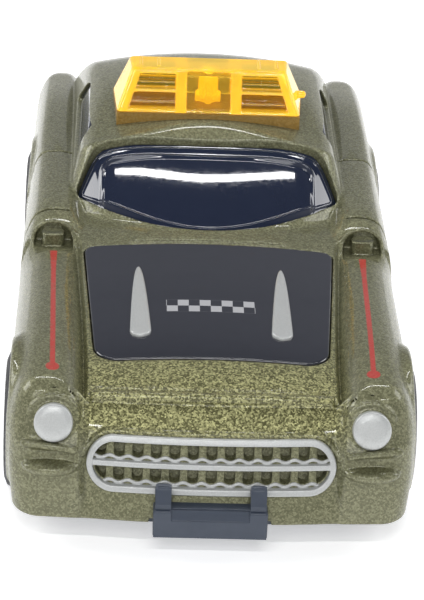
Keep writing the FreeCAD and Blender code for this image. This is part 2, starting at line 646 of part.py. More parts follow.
def gear(teeth, x0, x1, centre, tooth_angle):
    """Spur gear with one tooth centred on tooth_angle, in degrees from +Y towards +Z."""
    pitch_r = teeth * MODULE / 2
    root_r = pitch_r - 1.3 * MODULE
    tip_r = pitch_r + 0.9 * MODULE
    base_r = pitch_r * math.cos(PRESSURE_ANGLE)
    foot_r = max(base_r, root_r + 0.05)
    radii = [foot_r + (tip_r - foot_r) * step / 4 for step in range(5)]
    root_half = tooth_half_angle(teeth, foot_r) * 0.86
    points = []
    for tooth in range(teeth):
        middle = tooth * 2 * math.pi / teeth
        points.append((root_r, middle - root_half))
        points += [(radius, middle - tooth_half_angle(teeth, radius)) for radius in radii]
        points += [(radius, middle + tooth_half_angle(teeth, radius)) for radius in reversed(radii)]
        points.append((root_r, middle + root_half))
    turn = math.radians(tooth_angle)
    outline = [(centre[0] + r * math.cos(a + turn), centre[1] + r * math.sin(a + turn)) for r, a in points]
    return prism_x(outline, x0, x1)


def compound_phase():
    """The pinion has a gap where the drive gear's tooth points at it."""
    return COMPOUND_ANGLE + 180 + 180.0 / PINION_TEETH


def flywheel_phase():
    return FLYWHEEL_ANGLE + 180 + 180.0 / PINION_TEETH


def drive_gear():
    teeth = gear(DRIVE_TEETH, -5.2, -3.0, DRIVE_CENTRE, COMPOUND_ANGLE)
    boss = cylinder_x(2.2, -5.5, -2.5, *DRIVE_CENTRE)
    return teeth.fuse(boss).cut(cylinder_x(AXLE_R, -7, 7, *DRIVE_CENTRE)).removeSplitter()


def compound_gear():
    pinion = gear(PINION_TEETH, -5.3, -2.3, COMPOUND_CENTRE, compound_phase())
    wheel = gear(COMPOUND_TEETH, -2.3, -0.9, COMPOUND_CENTRE, FLYWHEEL_ANGLE)
    boss = cylinder_x(1.4, -1.0, 0.2, *COMPOUND_CENTRE)
    return fuse([pinion, wheel, boss]).cut(cylinder_x(ARBOR_R, -7, 7, *COMPOUND_CENTRE))


def flywheel_pinion():
    pinion = gear(PINION_TEETH, -2.6, -0.5, FLYWHEEL_CENTRE, flywheel_phase())
    boss = cylinder_x(1.2, -0.6, 0.3, *FLYWHEEL_CENTRE)
    return pinion.fuse(boss).cut(cylinder_x(ARBOR_R, -7, 7, *FLYWHEEL_CENTRE)).removeSplitter()


def flywheel():
    disc = cylinder_x(FLYWHEEL_R, 0.5, 4.7, *FLYWHEEL_CENTRE)
    dish = cylinder_x(FLYWHEEL_R - 1.3, 3.9, 6, *FLYWHEEL_CENTRE).cut(cylinder_x(1.6, 3, 7, *FLYWHEEL_CENTRE))
    return disc.cut([dish, cylinder_x(ARBOR_R, -7, 7, *FLYWHEEL_CENTRE)])


def arbor(centre):
    half = PLATE_INNER_X + PLATE_T + 0.3
    return cylinder_x(ARBOR_R, -half, half, *centre)


def motor_plate(side):
    outline = [(-4.2, BASE_TOP_Z + 0.02), (17.4, BASE_TOP_Z + 0.02), (17.4, 9.6), (16.4, 13.4), (13.4, 13.9),
               (6.0, 12.3), (-1.5, 12.6), (-4.2, 12.4)]
    x0, x1 = sorted((side * PLATE_INNER_X, side * (PLATE_INNER_X + PLATE_T)))
    plate = prism_x(outline, x0, x1)
    f0, f1 = sorted((side * PLATE_INNER_X, side * 9.2))
    feet = [box(f0, f1, y - 1.3, y + 1.3, BASE_TOP_Z + 0.02, BASE_TOP_Z + PLATE_T) for y in FOOT_YS]
    holes = [cylinder_x(AXLE_R + RUNNING_GAP, -12, 12, *DRIVE_CENTRE)]
    holes += [cylinder_x(ARBOR_R + RUNNING_GAP, -12, 12, *centre) for centre in (COMPOUND_CENTRE, FLYWHEEL_CENTRE)]
    holes += [cylinder_x(0.5, -12, 12, *place) for place in SPACER_PLACES]
    holes += [cylinder_z(0.45, 0, 5, x, y) for x, y in rivet_places()]
    return biggest_solid(fuse([plate] + feet).cut(holes))


def motor_spacers():
    """Posts between the motor plates, with turned-down ends peened over."""
    posts = []
    for place in SPACER_PLACES:
        end = PLATE_INNER_X + PLATE_T
        post = fuse([cylinder_x(0.85, -PLATE_INNER_X, PLATE_INNER_X, *place), cylinder_x(0.48, -end, end, *place),
                     cylinder_x(0.75, end + 0.01, end + 0.3, *place), cylinder_x(0.75, -end - 0.3, -end - 0.01, *place),
                     cylinder_x(0.48, -end - 0.2, end + 0.2, *place)])
        posts.append(post)
    return Part.makeCompound(posts)


def motor_rivets():
    rivets = []
    for x, y in rivet_places():
        shank = cylinder_z(0.43, BASE_BOTTOM_Z + 0.1, BASE_TOP_Z + PLATE_T + 0.2, x, y)
        head = cylinder_z(0.8, BASE_TOP_Z + PLATE_T + 0.01, BASE_TOP_Z + PLATE_T + 0.35, x, y)
        foot = cylinder_z(0.75, BASE_BOTTOM_Z + 0.02, BASE_BOTTOM_Z + 0.28, x, y)
        rivets.append(fuse([shank, head, foot]))
    return Part.makeCompound(rivets)


# Assembly -----------------------------------------------------------------------------------
def build():
    lower_outer = lower_solid(0.0)
    outer = lower_outer.fuse(cabin_solid(0.0, 11.0)).removeSplitter()
    inner = fuse([lower_solid(WALL), cabin_solid(WALL, 9.0)]).common(box(-30, 30, -50, 50, -5, 30))
    inner = fuse([inner, Part.Face(plan_wire(WALL)).extrude(Vector(0, 0, SILL_Z + 0.05))])
    grille_back = lower_solid(GRILLE_DEPTH)
    thin_skin = lower_solid(ARCH_SKIN)
    panel_floor = below(lambda s, y: lower_height(s, y) - PANEL_DEPTH, 12, -30, -8, 1.0, 1.3)
    glass_skin = cabin_solid(0.3, 12.5)
    nodes = {
        "body_shell": body_shell(outer, inner, lower_outer, grille_back, thin_skin, panel_floor),
        "bonnet_panel": bonnet_panel(panel_floor),
        "window_insert": window_insert(glass_skin),
        "light_bar_lens": light_bar_lens(outer),
        "light_bar_base": light_bar_base(outer),
        "beacon_lamp": beacon_lamp(),
        "chassis_base": chassis_base(),
        "base_screws": base_screws(),
        "front_axle_keeper": front_axle_keeper(),
        "keeper_screws": keeper_screws(),
        "front_axle": axle(FRONT_AXLE_Y, FRONT_TYRE_R),
        "rear_axle": axle(REAR_AXLE_Y, REAR_TYRE_R),
        "drive_gear": drive_gear(),
        "compound_gear": compound_gear(),
        "compound_arbor": arbor(COMPOUND_CENTRE),
        "flywheel": flywheel(),
        "flywheel_pinion": flywheel_pinion(),
        "flywheel_arbor": arbor(FLYWHEEL_CENTRE),
        "motor_plate_left": motor_plate(1),
        "motor_plate_right": motor_plate(-1),
        "motor_spacers": motor_spacers(),
        "motor_rivets": motor_rivets(),
    }
    for end, y, radius in (("front", FRONT_AXLE_Y, FRONT_TYRE_R), ("rear", REAR_AXLE_Y, REAR_TYRE_R)):
        for name, side in (("left", 1), ("right", -1)):
            nodes[f"{end}_{name}_hub"] = hub(side, y, radius)
            nodes[f"{end}_{name}_tyre"] = tyre(side, y, radius)
    return nodes


os.makedirs("parts", exist_ok=True)
for node, shape in build().items():
    print(node, "solids", len(shape.Solids), "valid", shape.isValid(), "volume", round(shape.Volume, 2))
    shape.exportStep(f"parts/{node}.step")
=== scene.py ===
import math

import bpy
import numpy as np
from mathutils import Matrix, Vector


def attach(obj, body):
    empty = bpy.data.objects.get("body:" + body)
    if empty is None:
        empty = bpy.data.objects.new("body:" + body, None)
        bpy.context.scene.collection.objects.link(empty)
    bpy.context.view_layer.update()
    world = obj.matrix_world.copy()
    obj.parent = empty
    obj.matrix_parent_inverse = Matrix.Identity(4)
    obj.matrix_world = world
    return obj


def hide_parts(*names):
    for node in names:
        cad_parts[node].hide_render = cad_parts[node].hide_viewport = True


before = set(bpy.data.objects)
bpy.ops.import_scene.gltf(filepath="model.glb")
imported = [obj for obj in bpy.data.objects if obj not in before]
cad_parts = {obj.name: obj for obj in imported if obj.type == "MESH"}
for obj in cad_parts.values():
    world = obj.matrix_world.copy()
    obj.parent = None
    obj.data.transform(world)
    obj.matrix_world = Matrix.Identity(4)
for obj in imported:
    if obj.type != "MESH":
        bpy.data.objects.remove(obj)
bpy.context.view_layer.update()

# Looks of the friction-driven toy taxi. Shapes are written in millimetres in the row frame and
# turned into metres when a mesh is made. +X is the car's own left, -Y is forward, +Z is up.
MM = 0.001
BODY_CELL = 0.165
DETAIL_CELL = 0.075
BODY_FACES = 150000

SILL_Z = 2.5
WALL = 1.1
FRONT_AXLE = (-26.4, 5.8)
REAR_AXLE = (14.0, 6.2)
ARCH_GAP = 0.45

# Lines along the car: (position along Y, height or distance from the middle).
DECK_LINE = [(-39, 9.8), (-32.3, 11.4), (-27.6, 12.35), (-18, 13.3), (-9.5, 14.0), (-6, 14.3),
             (26, 14.3), (31, 13.6), (35, 12.4), (39, 10.4)]
PONTOON_LINE = [(-39, 6.5), (-36.6, 9.8), (-34.8, 11.9), (-31, 12.8), (-25, 13.25), (-12, 13.1),
                (-8.6, 13.3), (-5.5, 14.7), (-2, 15.1), (12, 15.0), (22, 14.7), (29, 13.9),
                (33.5, 13.0), (36.5, 11.0), (39, 7.5)]
PONTOON_CREST_X = [(-39, 13.1), (-8, 13.2), (4, 13.5), (16, 14.0), (39, 14.0)]
PONTOON_HALF_WIDTH = [(-39, 3.1), (-4, 3.1), (12, 2.9), (22, 2.6), (39, 2.5)]
BONNET_EDGE_X = [(-34, 9.95), (-27.6, 9.95), (-9.5, 10.9)]
ROOF_LINE = [(-10, 18.0), (3.6, 19.55), (11, 20.3), (18, 20.15), (23.5, 19.35), (28.5, 17.0),
             (32.5, 14.2), (36, 11.2)]

# Lines up the car: (height, position along Y for the faces, half width for the sections).
NOSE_FACE = [(0.0, -37.6), (2.5, -37.4), (4.9, -36.3), (8.8, -34.9), (11.3, -32.3),
             (14.0, -29.0), (24.0, -19.0)]
FENDER_FACE = [(0.0, -37.4), (2.5, -37.1), (5.5, -36.5), (7.2, -36.0), (8.3, -35.6), (9.4, -34.9),
               (11.2, -33.9), (12.3, -33.1), (13.4, -31.0), (14.6, -26.0), (24.0, -19.0)]
SIDE_SECTION = [(0.5, 15.9), (2.5, 16.1), (5.5, 16.42), (8.0, 16.45), (10.5, 16.4), (12.4, 16.1),
                (15.6, 15.3), (24.0, 12.6)]
CABIN_SECTION = [(9.0, 13.2), (11.0, 13.0), (14.2, 12.5), (17.6, 11.45), (19.0, 10.7),
                 (19.9, 9.6), (22.0, 7.0)]

SCREEN_CORNER_X = 11.87
PANEL_FRONT_Y, PANEL_REAR_Y = -27.6, -9.1
TEARDROP = dict(x=5.85, front_y=-23.6, length=10.2, radius=0.88)
CREASE_Y = -31.6
DOOR_FRONT_Y, DOOR_REAR_Y = -4.5, 8.2
SCOOP_X, SCOOP_Z = 13.55, 13.0
GRILLE = dict(half_width=9.95, half_height=2.15, z=6.85, ring=0.5)
SLOT_PITCH = 1.47
SLOT_ROWS_Z = (7.92, 6.07)
LEDGE_ROWS_Z = (7.0, 5.12)
LAMP_CENTRE = np.array([12.61, -34.5, 9.95])
LAMP_TILT = math.radians(20)
LAMP_FORWARD = np.array([0.0, -math.cos(LAMP_TILT), math.sin(LAMP_TILT)])
TAIL_LAMP_X, TAIL_LAMP_Z = 13.9, 9.6
BAR_LOW, BAR_HIGH = 20.25, 23.7
BAR_TALL = BAR_HIGH - BAR_LOW
BAR_ROWS = ((0.08, 0.46), (0.54, 0.88))
BEACON_Y = 9.15
BUMPER_Y, OVERRIDER_X = -37.3, 3.78
STRIPE_FRONT_Y, STRIPE_REAR_Y = -30.5, -8.4
BAND_Y, BAND_SQUARE = -19.6, 0.92

OLIVE_DARK, OLIVE_LIGHT = (0.115, 0.115, 0.058, 1), (0.23, 0.228, 0.130, 1)
# Flake tones of the painted golden sheen: the up-facing bonnet and nose are painted lighter where they
# catch the light.
PAINTED_GOLD_SHEEN_DARK, PAINTED_GOLD_SHEEN_LIGHT = (0.075, 0.072, 0.022, 1), (0.42, 0.41, 0.19, 1)
STRIPE_RED = (0.40, 0.03, 0.018, 1)
# Painted amber light that the light bar's lens throws on the paint under it.
PAINTED_AMBER_LIGHT = (0.38, 0.20, 0.02, 1)

# Camera: place in mm, turns in degrees, focal length as a share of the sensor's longer side.
CAMERA_AT = (-7.976, -217.042, 110.480)
CAMERA_YAW, CAMERA_PITCH, CAMERA_ROLL = 2.33633, 26.07873, 2.60148
CAMERA_FOCAL_SHARE = 2631.37 / 600.0
SENSOR = 36.0

# Area lights: name, place, aim, size and watts.
AREA_LIGHTS = (
    ("left", (-420.0, 120.0, 330.0), (0, 0, 8), (260, 200), 1.05),
    ("right", (420.0, 120.0, 330.0), (0, 0, 8), (260, 200), 0.8),
    ("front", (-60.0, -420.0, 330.0), (0, 0, 8), (420, 160), 0.6),
    ("edge", (-20.0, -300.0, 420.0), (0, -20, 8), (380, 18), 0.7),
)
STRIP = dict(half_length=190.0, half_width=10.0, y=150.0, z=420.0, bend=75.0, bend_x=260.0, steps=32)
FLOOR_HALF = 1.6


# Lines and distances -----
def smooth_line(stations):
    """Function that follows a smooth line through the stations, for whole arrays."""
    knots = np.array(stations, float)
    pos, val = knots[:, 0], knots[:, 1]
    slope = np.gradient(val, pos)
    slope[1:-1] = (val[2:] - val[:-2]) / (pos[2:] - pos[:-2])

    def line(at):
        at = np.clip(at, pos[0], pos[-1])
        index = np.clip(np.searchsorted(pos, at) - 1, 0, len(pos) - 2)
        span = pos[index + 1] - pos[index]
        t = (at - pos[index]) / span
        a, b = 2 * t ** 3 - 3 * t ** 2 + 1, t ** 3 - 2 * t ** 2 + t
        c, d = 3 * t ** 2 - 2 * t ** 3, t ** 3 - t ** 2
        ends = a * val[index] + b * span * slope[index]
        return ends + c * val[index + 1] + d * span * slope[index + 1]
    return line


deck_line = smooth_line(DECK_LINE)
pontoon_line = smooth_line(PONTOON_LINE)
pontoon_crest = smooth_line(PONTOON_CREST_X)
pontoon_width = smooth_line(PONTOON_HALF_WIDTH)
bonnet_edge = smooth_line(BONNET_EDGE_X)
roof_line = smooth_line(ROOF_LINE)
nose_face = smooth_line(NOSE_FACE)
fender_face = smooth_line(FENDER_FACE)
side_section = smooth_line(SIDE_SECTION)
cabin_section = smooth_line(CABIN_SECTION)


def soft_max(a, b, width):
    """Larger of two values, blended over a width where they cross."""
    return 0.5 * (a + b + np.sqrt((a - b) ** 2 + width ** 2))


def soft_min(a, b, width):
    return -soft_max(-a, -b, width)


def join(a, b, radius):
    """Union with a fillet."""
    h = np.clip(0.5 + 0.5 * (b - a) / radius, 0, 1)
    return b + (a - b) * h - radius * h * (1 - h)


def meet(a, b, radius):
    """Intersection with a rounded edge."""
    return (np.minimum(np.maximum(a, b), -radius)
            + np.sqrt(np.maximum(a + radius, 0) ** 2 + np.maximum(b + radius, 0) ** 2))


def carve(a, b, radius):
    """a without b, with a rounded edge."""
    return meet(a, -b, radius)


def ramp(at, start, end):
    """Smooth step from 0 at start to 1 at end."""
    t = np.clip((at - start) / (end - start), 0, 1)
    return t * t * (3 - 2 * t)


def tube(u, v, radius):
    """Distance to a round tube, from the two offsets across its middle line."""
    return np.sqrt(u ** 2 + v ** 2) - radius


def pill(x, y, z, a, b, radius):
    """Distance to a round-ended bar from a to b."""
    a, b = np.array(a, float), np.array(b, float)
    d = b - a
    t = np.clip(((x - a[0]) * d[0] + (y - a[1]) * d[1] + (z - a[2]) * d[2]) / d.dot(d), 0, 1)
    dx, dy, dz = x - a[0] - t * d[0], y - a[1] - t * d[1], z - a[2] - t * d[2]
    return np.sqrt(dx ** 2 + dy ** 2 + dz ** 2) - radius


def round_box(offsets, halves, radius):
    """Distance to a rounded box, from offsets to its centre along each axis."""
    q = [np.abs(o) - (h - radius) for o, h in zip(offsets, halves)]
    outside = np.sqrt(sum(np.maximum(v, 0) ** 2 for v in q))
    inside = np.minimum(np.maximum.reduce(q), 0)
    return outside + inside - radius


# Body form -----
def lower_height(s, y):
    """Bonnet, fender and deck height at half width s."""
    front = np.clip((-7.0 - y) / 3.0, 0, 1)
    edge = np.maximum(0, s - bonnet_edge(y))
    deck = deck_line(y) - 0.5 * (s / 10) ** 2 - 4.0 * front * edge ** 2
    sideways = s - pontoon_crest(y)
    offset = np.abs(sideways) / (pontoon_width(y) + np.where(sideways > 0, 0.35, 0.0))
    pontoon = pontoon_line(y) - 3.2 * np.minimum(offset, 4) ** 3
    return soft_max(np.maximum(deck, 5.0), np.maximum(pontoon, 5.0), 0.3)


def cabin_height(s, y):
    """Windscreen, roof and fastback height at half width s."""
    corner = (s / SCREEN_CORNER_X) ** 2
    foot_y = -6.9 + 6.0 * corner
    foot_z = 14.25 + 0.45 * corner
    screen = foot_z + (y - foot_y) * (0.46 + 0.32 * (s / 11) ** 2)
    roof = roof_line(y) - 0.011 * s ** 2
    return soft_min(screen, roof, 0.3) + 0.12 * np.exp(-((screen - roof) / 0.4) ** 2)


def over(height, s, y, z):
    """Distance above a height field."""
    h, step = height(s, y), 0.05
    slope_s = (height(s + step, y) - h) / step
    slope_y = (height(s, y + step) - h) / step
    return (z - h) / np.sqrt(1 + np.minimum(slope_s ** 2 + slope_y ** 2, 8.0))


def front_distance(s, y, z):
    """Distance in front of the nose face, which blends into the fender noses."""
    bow = 0.0056 * s ** 2
    middle = nose_face(z) + bow
    outer = fender_face(z) + 0.35 * bow
    face = middle + (outer - middle) * ramp(s, 9.75, 10.75)
    return (face - y) * 0.9


def side_distance(s, y, z):
    """Distance outside the flanks, which draw in a little at both ends."""
    narrowing = 0.35 * ramp(-y, 28, 37.5) + 1.0 * ramp(y, 27, 38) ** 2
    return (s - side_section(z) + narrowing) * 0.97


def rear_distance(s, y, z):
    """Distance behind the tail, which bows across and leans in above and below its widest part."""
    above, below = np.maximum(z - 7.0, 0), np.maximum(5.0 - z, 0)
    tail = 38.1 - 0.0042 * s ** 2 - 0.035 * above ** 2 - 0.03 * below ** 2
    return y - tail


def upright_walls(s, y, z):
    """Distance outside the nose, sides and tail, with their rounded corners."""
    ends = meet(front_distance(s, y, z), side_distance(s, y, z), 2.1)
    rear = meet(rear_distance(s, y, z), side_distance(s, y, z), 5.2)
    return np.where(y < 0, ends, rear)


def skin_lower(s, y, z):
    """Distance to the outside of the bonnet, fenders, flanks and deck."""
    roofed = meet(over(lower_height, s, y, z), upright_walls(s, y, z), 0.55)
    return meet(roofed, SILL_Z - z, 0.25)


def skin_cabin(s, y, z):
    """Distance to the outside of the cabin."""
    sides = (s - cabin_section(z)) * 0.96
    ends = np.maximum(-7.6 - y, y - 33.5)
    return meet(meet(over(cabin_height, s, y, z), sides, 0.9), ends, 0.3)


def screen_outline(s, y):
    """Distance in plan to the windscreen opening."""
    foot = (-6.75 + 6.0 * (s / SCREEN_CORNER_X) ** 2) - y
    top = y - (3.05 - 0.0035 * s ** 2)
    side = (s - (12.15 - 0.56 * (y + 0.9))) * 0.88
    return meet(meet(foot * 0.8, top, 0.9), side, 0.9)


def rear_window_outline(s, y):
    return meet(np.abs(y - 27.6) - 2.4, (s - 7.5 - 0.31 * (y - 25.2)) * 0.95, 0.8)


def side_window_outline(y, z):
    ends = np.maximum(y - (20.5 - (z - 15.4)), (3.4 + 0.93 * (z - 15.4)) - y) * 0.72
    return meet(np.abs(z - 16.9) - 1.5, ends, 0.5)


def panel_outline(s, y):
    """Distance in plan to the bonnet panel, which narrows forwards and has rounded corners."""
    taper = (PANEL_REAR_Y - y) / (PANEL_REAR_Y - PANEL_FRONT_Y)
    edge = (s - (10.85 - 1.35 * taper)) * 0.99
    rear = meet(edge, y - PANEL_REAR_Y, 1.0)
    return np.where(y > -18, rear, meet(edge, PANEL_FRONT_Y - y, 2.0))


def grille_outline(s, z):
    """Distance to the stadium outline of the grille in the front view."""
    half, high = GRILLE["half_width"], GRILLE["half_height"]
    run = half - high
    return np.sqrt(np.maximum(s - run, 0) ** 2 + (z - GRILLE["z"]) ** 2) - high


# Body details -----
def lamp_frame(s, y, z):
    """Places along, away from, up and across from the headlamp axis."""
    dx, dy, dz = s - LAMP_CENTRE[0], y - LAMP_CENTRE[1], z - LAMP_CENTRE[2]
    run = dy * LAMP_FORWARD[1] + dz * LAMP_FORWARD[2]
    up = dy * LAMP_FORWARD[2] + dz * math.cos(LAMP_TILT)
    return run, np.sqrt(np.maximum(dx ** 2 + dy ** 2 + dz ** 2 - run ** 2, 0)), up, dx


def add_nacelles(f, s, y, z):
    """Ball round each headlamp, two brow rings above it and the half-moon bumper below it."""
    run, away, up, dx = lamp_frame(s, y, z)
    f = join(f, tube(away, run + 2.1, 2.45), 0.5)
    crown = 0.35 * (1 - ramp(up, 0.2, 1.2))
    for back, radius in ((0.45, 2.0), (1.75, 2.7)):
        f = join(f, tube(away - radius, run + back, 0.24) + crown, 0.22)
    groove = tube(away - 2.5, run + 1.08, 0.14) + crown
    f = carve(f, np.maximum(groove, np.abs(dx) - 1.9), 0.06)
    lip = pill(s, y, z, (10.9, -36.0, 8.3), (14.9, -35.3, 8.45), 0.3)
    f = join(f, lip, 0.4)
    moon = np.sqrt(((s - 12.75) / 2.3) ** 2 + ((y + 35.6) / 1.35) ** 2 + ((z - 6.75) / 0.85) ** 2)
    return join(f, meet((moon - 1) * 0.75, z - 7.3, 0.5), 0.12)


def add_crease(f, s, y, z):
    """Shut line at the front of the bonnet, with a round ridge ahead of it."""
    line_y = CREASE_Y + 0.006 * s ** 2
    top = lower_height(s, line_y)
    groove = tube(y - line_y, (z - top) * 0.9, 0.13)
    ridge = tube(y - line_y + 0.8, z - top + 0.3, 0.46)
    middle = s - 9.75
    f = join(f, meet(ridge, middle, 0.2), 0.2)
    return carve(f, meet(groove, middle, 0.1), 0.07)


def add_cowl(f, s, y, z):
    """Raised plate with slanting ends between the bonnet panel and the windscreen."""
    back = -7.75 + 0.012 * s ** 2
    slant = (s - (6.1 + 0.9 * (-7.8 - y))) * 0.75
    plan = np.maximum(np.maximum(y - back, -8.72 - y), slant)
    height = z - lower_height(s, y)
    return join(f, meet(plan, np.abs(height) - 0.2, 0.1), 0.05)


def scoop_mouth(f, s, y, z):
    """Arched hollow at the rear of each front fender, with a D-shaped boss in it."""
    arch = tube(s - SCOOP_X, z - SCOOP_Z, 1.7)
    mouth = meet(meet(arch, -9.3 - y, 0.5), y + 6.35, 0.3)
    f = carve(f, meet(mouth, 12.75 - z, 0.2), 0.14)
    rim = tube(tube(s - SCOOP_X, z - SCOOP_Z, 1.85), y + 7.0, 0.2)
    f = join(f, meet(rim, 13.1 - z, 0.1), 0.3)
    boss = tube(s - 13.6, y + 7.1, 1.0)
    boss = meet(meet(boss, -7.75 - y, 0.1), z - 13.95, 0.1)
    return join(f, np.maximum(boss, 12.0 - z), 0.08)


def door_groove(s, y, z):
    """Shut lines over the shoulder and down the sides, joined along the sill."""
    lines = np.minimum(np.abs(y - DOOR_FRONT_Y + 0.03 * (14 - z)), np.abs(y - DOOR_REAR_Y))
    sill = np.maximum(np.abs(z - 3.9), np.abs(y - (DOOR_FRONT_Y + DOOR_REAR_Y) / 2) - 6.5)
    shallow = np.maximum(np.maximum(12.3 - s, 3.7 - z), -skin_lower(s, y, z) - 0.32)
    return np.maximum(np.minimum(lines, sill) - 0.13, shallow)


def wheel_arches(f, s, y, z):
    """Round openings in the sides, with a thin turned-out lip."""
    for axle_y, radius in (FRONT_AXLE, REAR_AXLE):
        reach = tube(y - axle_y, z - radius, 0)
        lip = tube(reach - radius - ARCH_GAP - 0.2, s - 15.95, 0.38)
        f = join(f, np.maximum(lip, radius - 2.0 - z), 0.6)
        opening = np.maximum(reach - radius - ARCH_GAP, 11.2 - s)
        roofed = np.maximum(opening, np.where(s > 15.0, -9.0, skin_lower(s, y, z) + 0.6))
        f = carve(f, roofed, 0.12)
    return f


def add_tail(f, s, y, z):
    """Tail lamp bosses, a bar across the tail, a number-plate recess and the boot's shut line."""
    boss = tube(s - TAIL_LAMP_X, z - TAIL_LAMP_Z, 1.25)
    f = join(f, np.maximum(boss, np.abs(y - 36.0) - 1.2), 0.4)
    bar = tube(y - 37.3 + 0.0042 * s ** 2, z - 5.0, 0.75)
    f = join(f, np.maximum(bar, s - 13.2), 0.3)
    plate = round_box((s, y - 37.9, z - 8.2), (3.6, 0.55, 1.15), 0.25)
    f = carve(f, plate, 0.1)
    boot = np.abs(y - 33.6 - 0.01 * s ** 2) - 0.12
    lid = np.maximum(np.maximum(boot, s - 9.0), -skin_lower(s, y, z) - 0.28)
    return carve(f, lid, 0.05)


def inside_of_body(lower, cabin, s, y, z):
    """Hollow under the skin. It keeps solid blocks behind the scoops and the headlamps."""
    hollow = np.minimum(lower, cabin) + WALL
    scoop_block = np.maximum(np.maximum(np.abs(s - 13.6) - 2.7, np.abs(y + 7.8) - 2.8), 10.6 - z)
    lamp_block = np.sqrt((s - 12.6) ** 2 + (y + 32.6) ** 2 + (z - 9.9) ** 2) - 4.2
    hollow = np.maximum(hollow, -np.minimum(scoop_block, lamp_block))
    open_foot = np.maximum(upright_walls(s, y, z) + WALL, z - SILL_Z - 1.5)
    return np.minimum(hollow, open_foot)


def window_openings(s, y, z):
    """Windscreen, rear window and side windows, cut through the cabin's wall."""
    ends = np.minimum(screen_outline(s, y), rear_window_outline(s, y))
    sides = np.maximum(side_window_outline(y, z), 9.0 - s)
    return np.minimum(np.maximum(ends, 13.6 - z), sides)


def grille_seat(f, s, y, z):
    """Well for the grille, with a lip over its upper edge."""
    edge, ahead = grille_outline(s, z), front_distance(s, y, z)
    lip = tube(edge - 0.26, ahead - 0.02, 0.17)
    f = join(f, np.maximum(lip, 7.4 - z), 0.1)
    well = np.maximum(edge + 0.2, np.maximum(-0.95 - ahead, y + 30))
    return carve(f, well, 0.08)


def body_field(x, y, z):
    """Distance to the painted shell."""
    s = np.abs(x)
    lower, cabin = skin_lower(s, y, z), skin_cabin(s, y, z)
    f = join(lower, cabin, 0.28)
    f = add_nacelles(f, s, y, z)
    f = add_crease(f, s, y, z)
    f = add_cowl(f, s, y, z)
    f = add_tail(f, s, y, z)
    f = np.maximum(f, -inside_of_body(lower, cabin, s, y, z))
    bumper_notch = round_box((s, y + 38.0, z - 1.9), (4.85, 4.0, 0.95), 0.1)
    f = carve(f, bumper_notch, 0.1)
    f = scoop_mouth(f, s, y, z)
    f = wheel_arches(f, s, y, z)
    f = carve(f, door_groove(s, y, z), 0.06)
    f = carve(f, window_openings(s, y, z), 0.16)
    panel_seat = np.maximum(panel_outline(s, y) - 0.06, lower_height(s, y) - 0.75 - z)
    f = carve(f, panel_seat, 0.14)
    return grille_seat(f, s, y, z)


# Meshes from fields -----
def sample(field, axes):
    """Field on a grid. Points far from the surface keep the value of a coarse sample."""
    stride, cell = 4, axes[0][1] - axes[0][0]
    coarse_axes = [np.append(a[::stride], a[-1:] + cell * stride) for a in axes]
    coarse = field(*np.meshgrid(*coarse_axes, indexing="ij"))
    picks = [np.clip((np.arange(len(a)) + stride // 2) // stride, 0, len(c) - 1)
             for a, c in zip(axes, coarse_axes)]
    values = coarse[np.ix_(*picks)].astype(np.float32)
    near = np.argwhere(np.abs(values) < 6.0 * cell)
    for part in np.array_split(near, max(1, len(near) // 400000)):
        i, j, k = part.T
        values[i, j, k] = field(axes[0][i], axes[1][j], axes[2][k])
    return values


CORNERS = np.array([(i, j, k) for i in (0, 1) for j in (0, 1) for k in (0, 1)])
EDGES = [(a, b) for a in range(8) for b in range(a + 1, 8) if np.abs(CORNERS[a] - CORNERS[b]).sum() == 1]


def surface_nets(values, low, cell):
    """Quads and points of the zero surface of a grid of values."""
    inside = values < 0
    cells = tuple(n - 1 for n in values.shape)
    count = np.zeros(cells, np.int8)
    for di, dj, dk in CORNERS:
        count += inside[di:di + cells[0], dj:dj + cells[1], dk:dk + cells[2]]
    active = np.argwhere((count > 0) & (count < 8))
    ids = np.full(cells, -1, np.int32)
    ids[tuple(active.T)] = np.arange(len(active))
    at = np.stack([values[tuple((active + c).T)] for c in CORNERS], 1)
    total, hits = np.zeros((len(active), 3)), np.zeros(len(active))
    for a, b in EDGES:
        crosses = (at[:, a] < 0) != (at[:, b] < 0)
        t = np.where(crosses, at[:, a] / np.where(crosses, at[:, a] - at[:, b], 1), 0)
        point = CORNERS[a] + t[:, None] * (CORNERS[b] - CORNERS[a])
        total += np.where(crosses[:, None], point, 0)
        hits += crosses
    points = low + cell * (active + total / hits[:, None])
    quads = []
    for axis in range(3):
        first = [slice(None)] * 3
        second = [slice(None)] * 3
        first[axis], second[axis] = slice(None, -1), slice(1, None)
        a, b = inside[tuple(first)], inside[tuple(second)]
        edges = np.argwhere(a != b)
        u, v = [n for n in range(3) if n != axis]
        keep = (edges[:, u] > 0) & (edges[:, v] > 0) & (edges[:, u] < cells[u]) & (edges[:, v] < cells[v])
        edges = edges[keep]
        ring = []
        for du, dv in ((1, 1), (0, 1), (0, 0), (1, 0)):
            corner = edges.copy()
            corner[:, u] -= du
            corner[:, v] -= dv
            ring.append(ids[tuple(corner.T)])
        quad = np.stack(ring, 1)
        flip = a[tuple(edges.T)] == (axis == 1)
        quad[flip] = quad[flip][:, ::-1]
        quads.append(quad)
    return points, np.concatenate(quads), active


def gradient(field, points, step):
    """Slope of a field at points, from the values a step to each side."""
    g = np.empty_like(points)
    for axis in range(3):
        ahead, behind = points.copy(), points.copy()
        ahead[:, axis] += step
        behind[:, axis] -= step
        g[:, axis] = (field(*ahead.T) - field(*behind.T)) / (2 * step)
    return g


def settle(field, points, cell):
    """Moves points onto the zero surface."""
    rounds, step = 3, 0.02
    for _ in range(rounds):
        value = field(*points.T)
        ahead = [field(*(points + step * unit).T) for unit in np.eye(3)]
        g = np.stack([(a - value) / step for a in ahead], 1)
        size = np.maximum((g ** 2).sum(1), 0.05)
        move = -(value / size)[:, None] * g
        length = np.linalg.norm(move, axis=1)
        points = points + move * np.minimum(1, 0.5 * cell / np.maximum(length, 1e-9))[:, None]
    return points


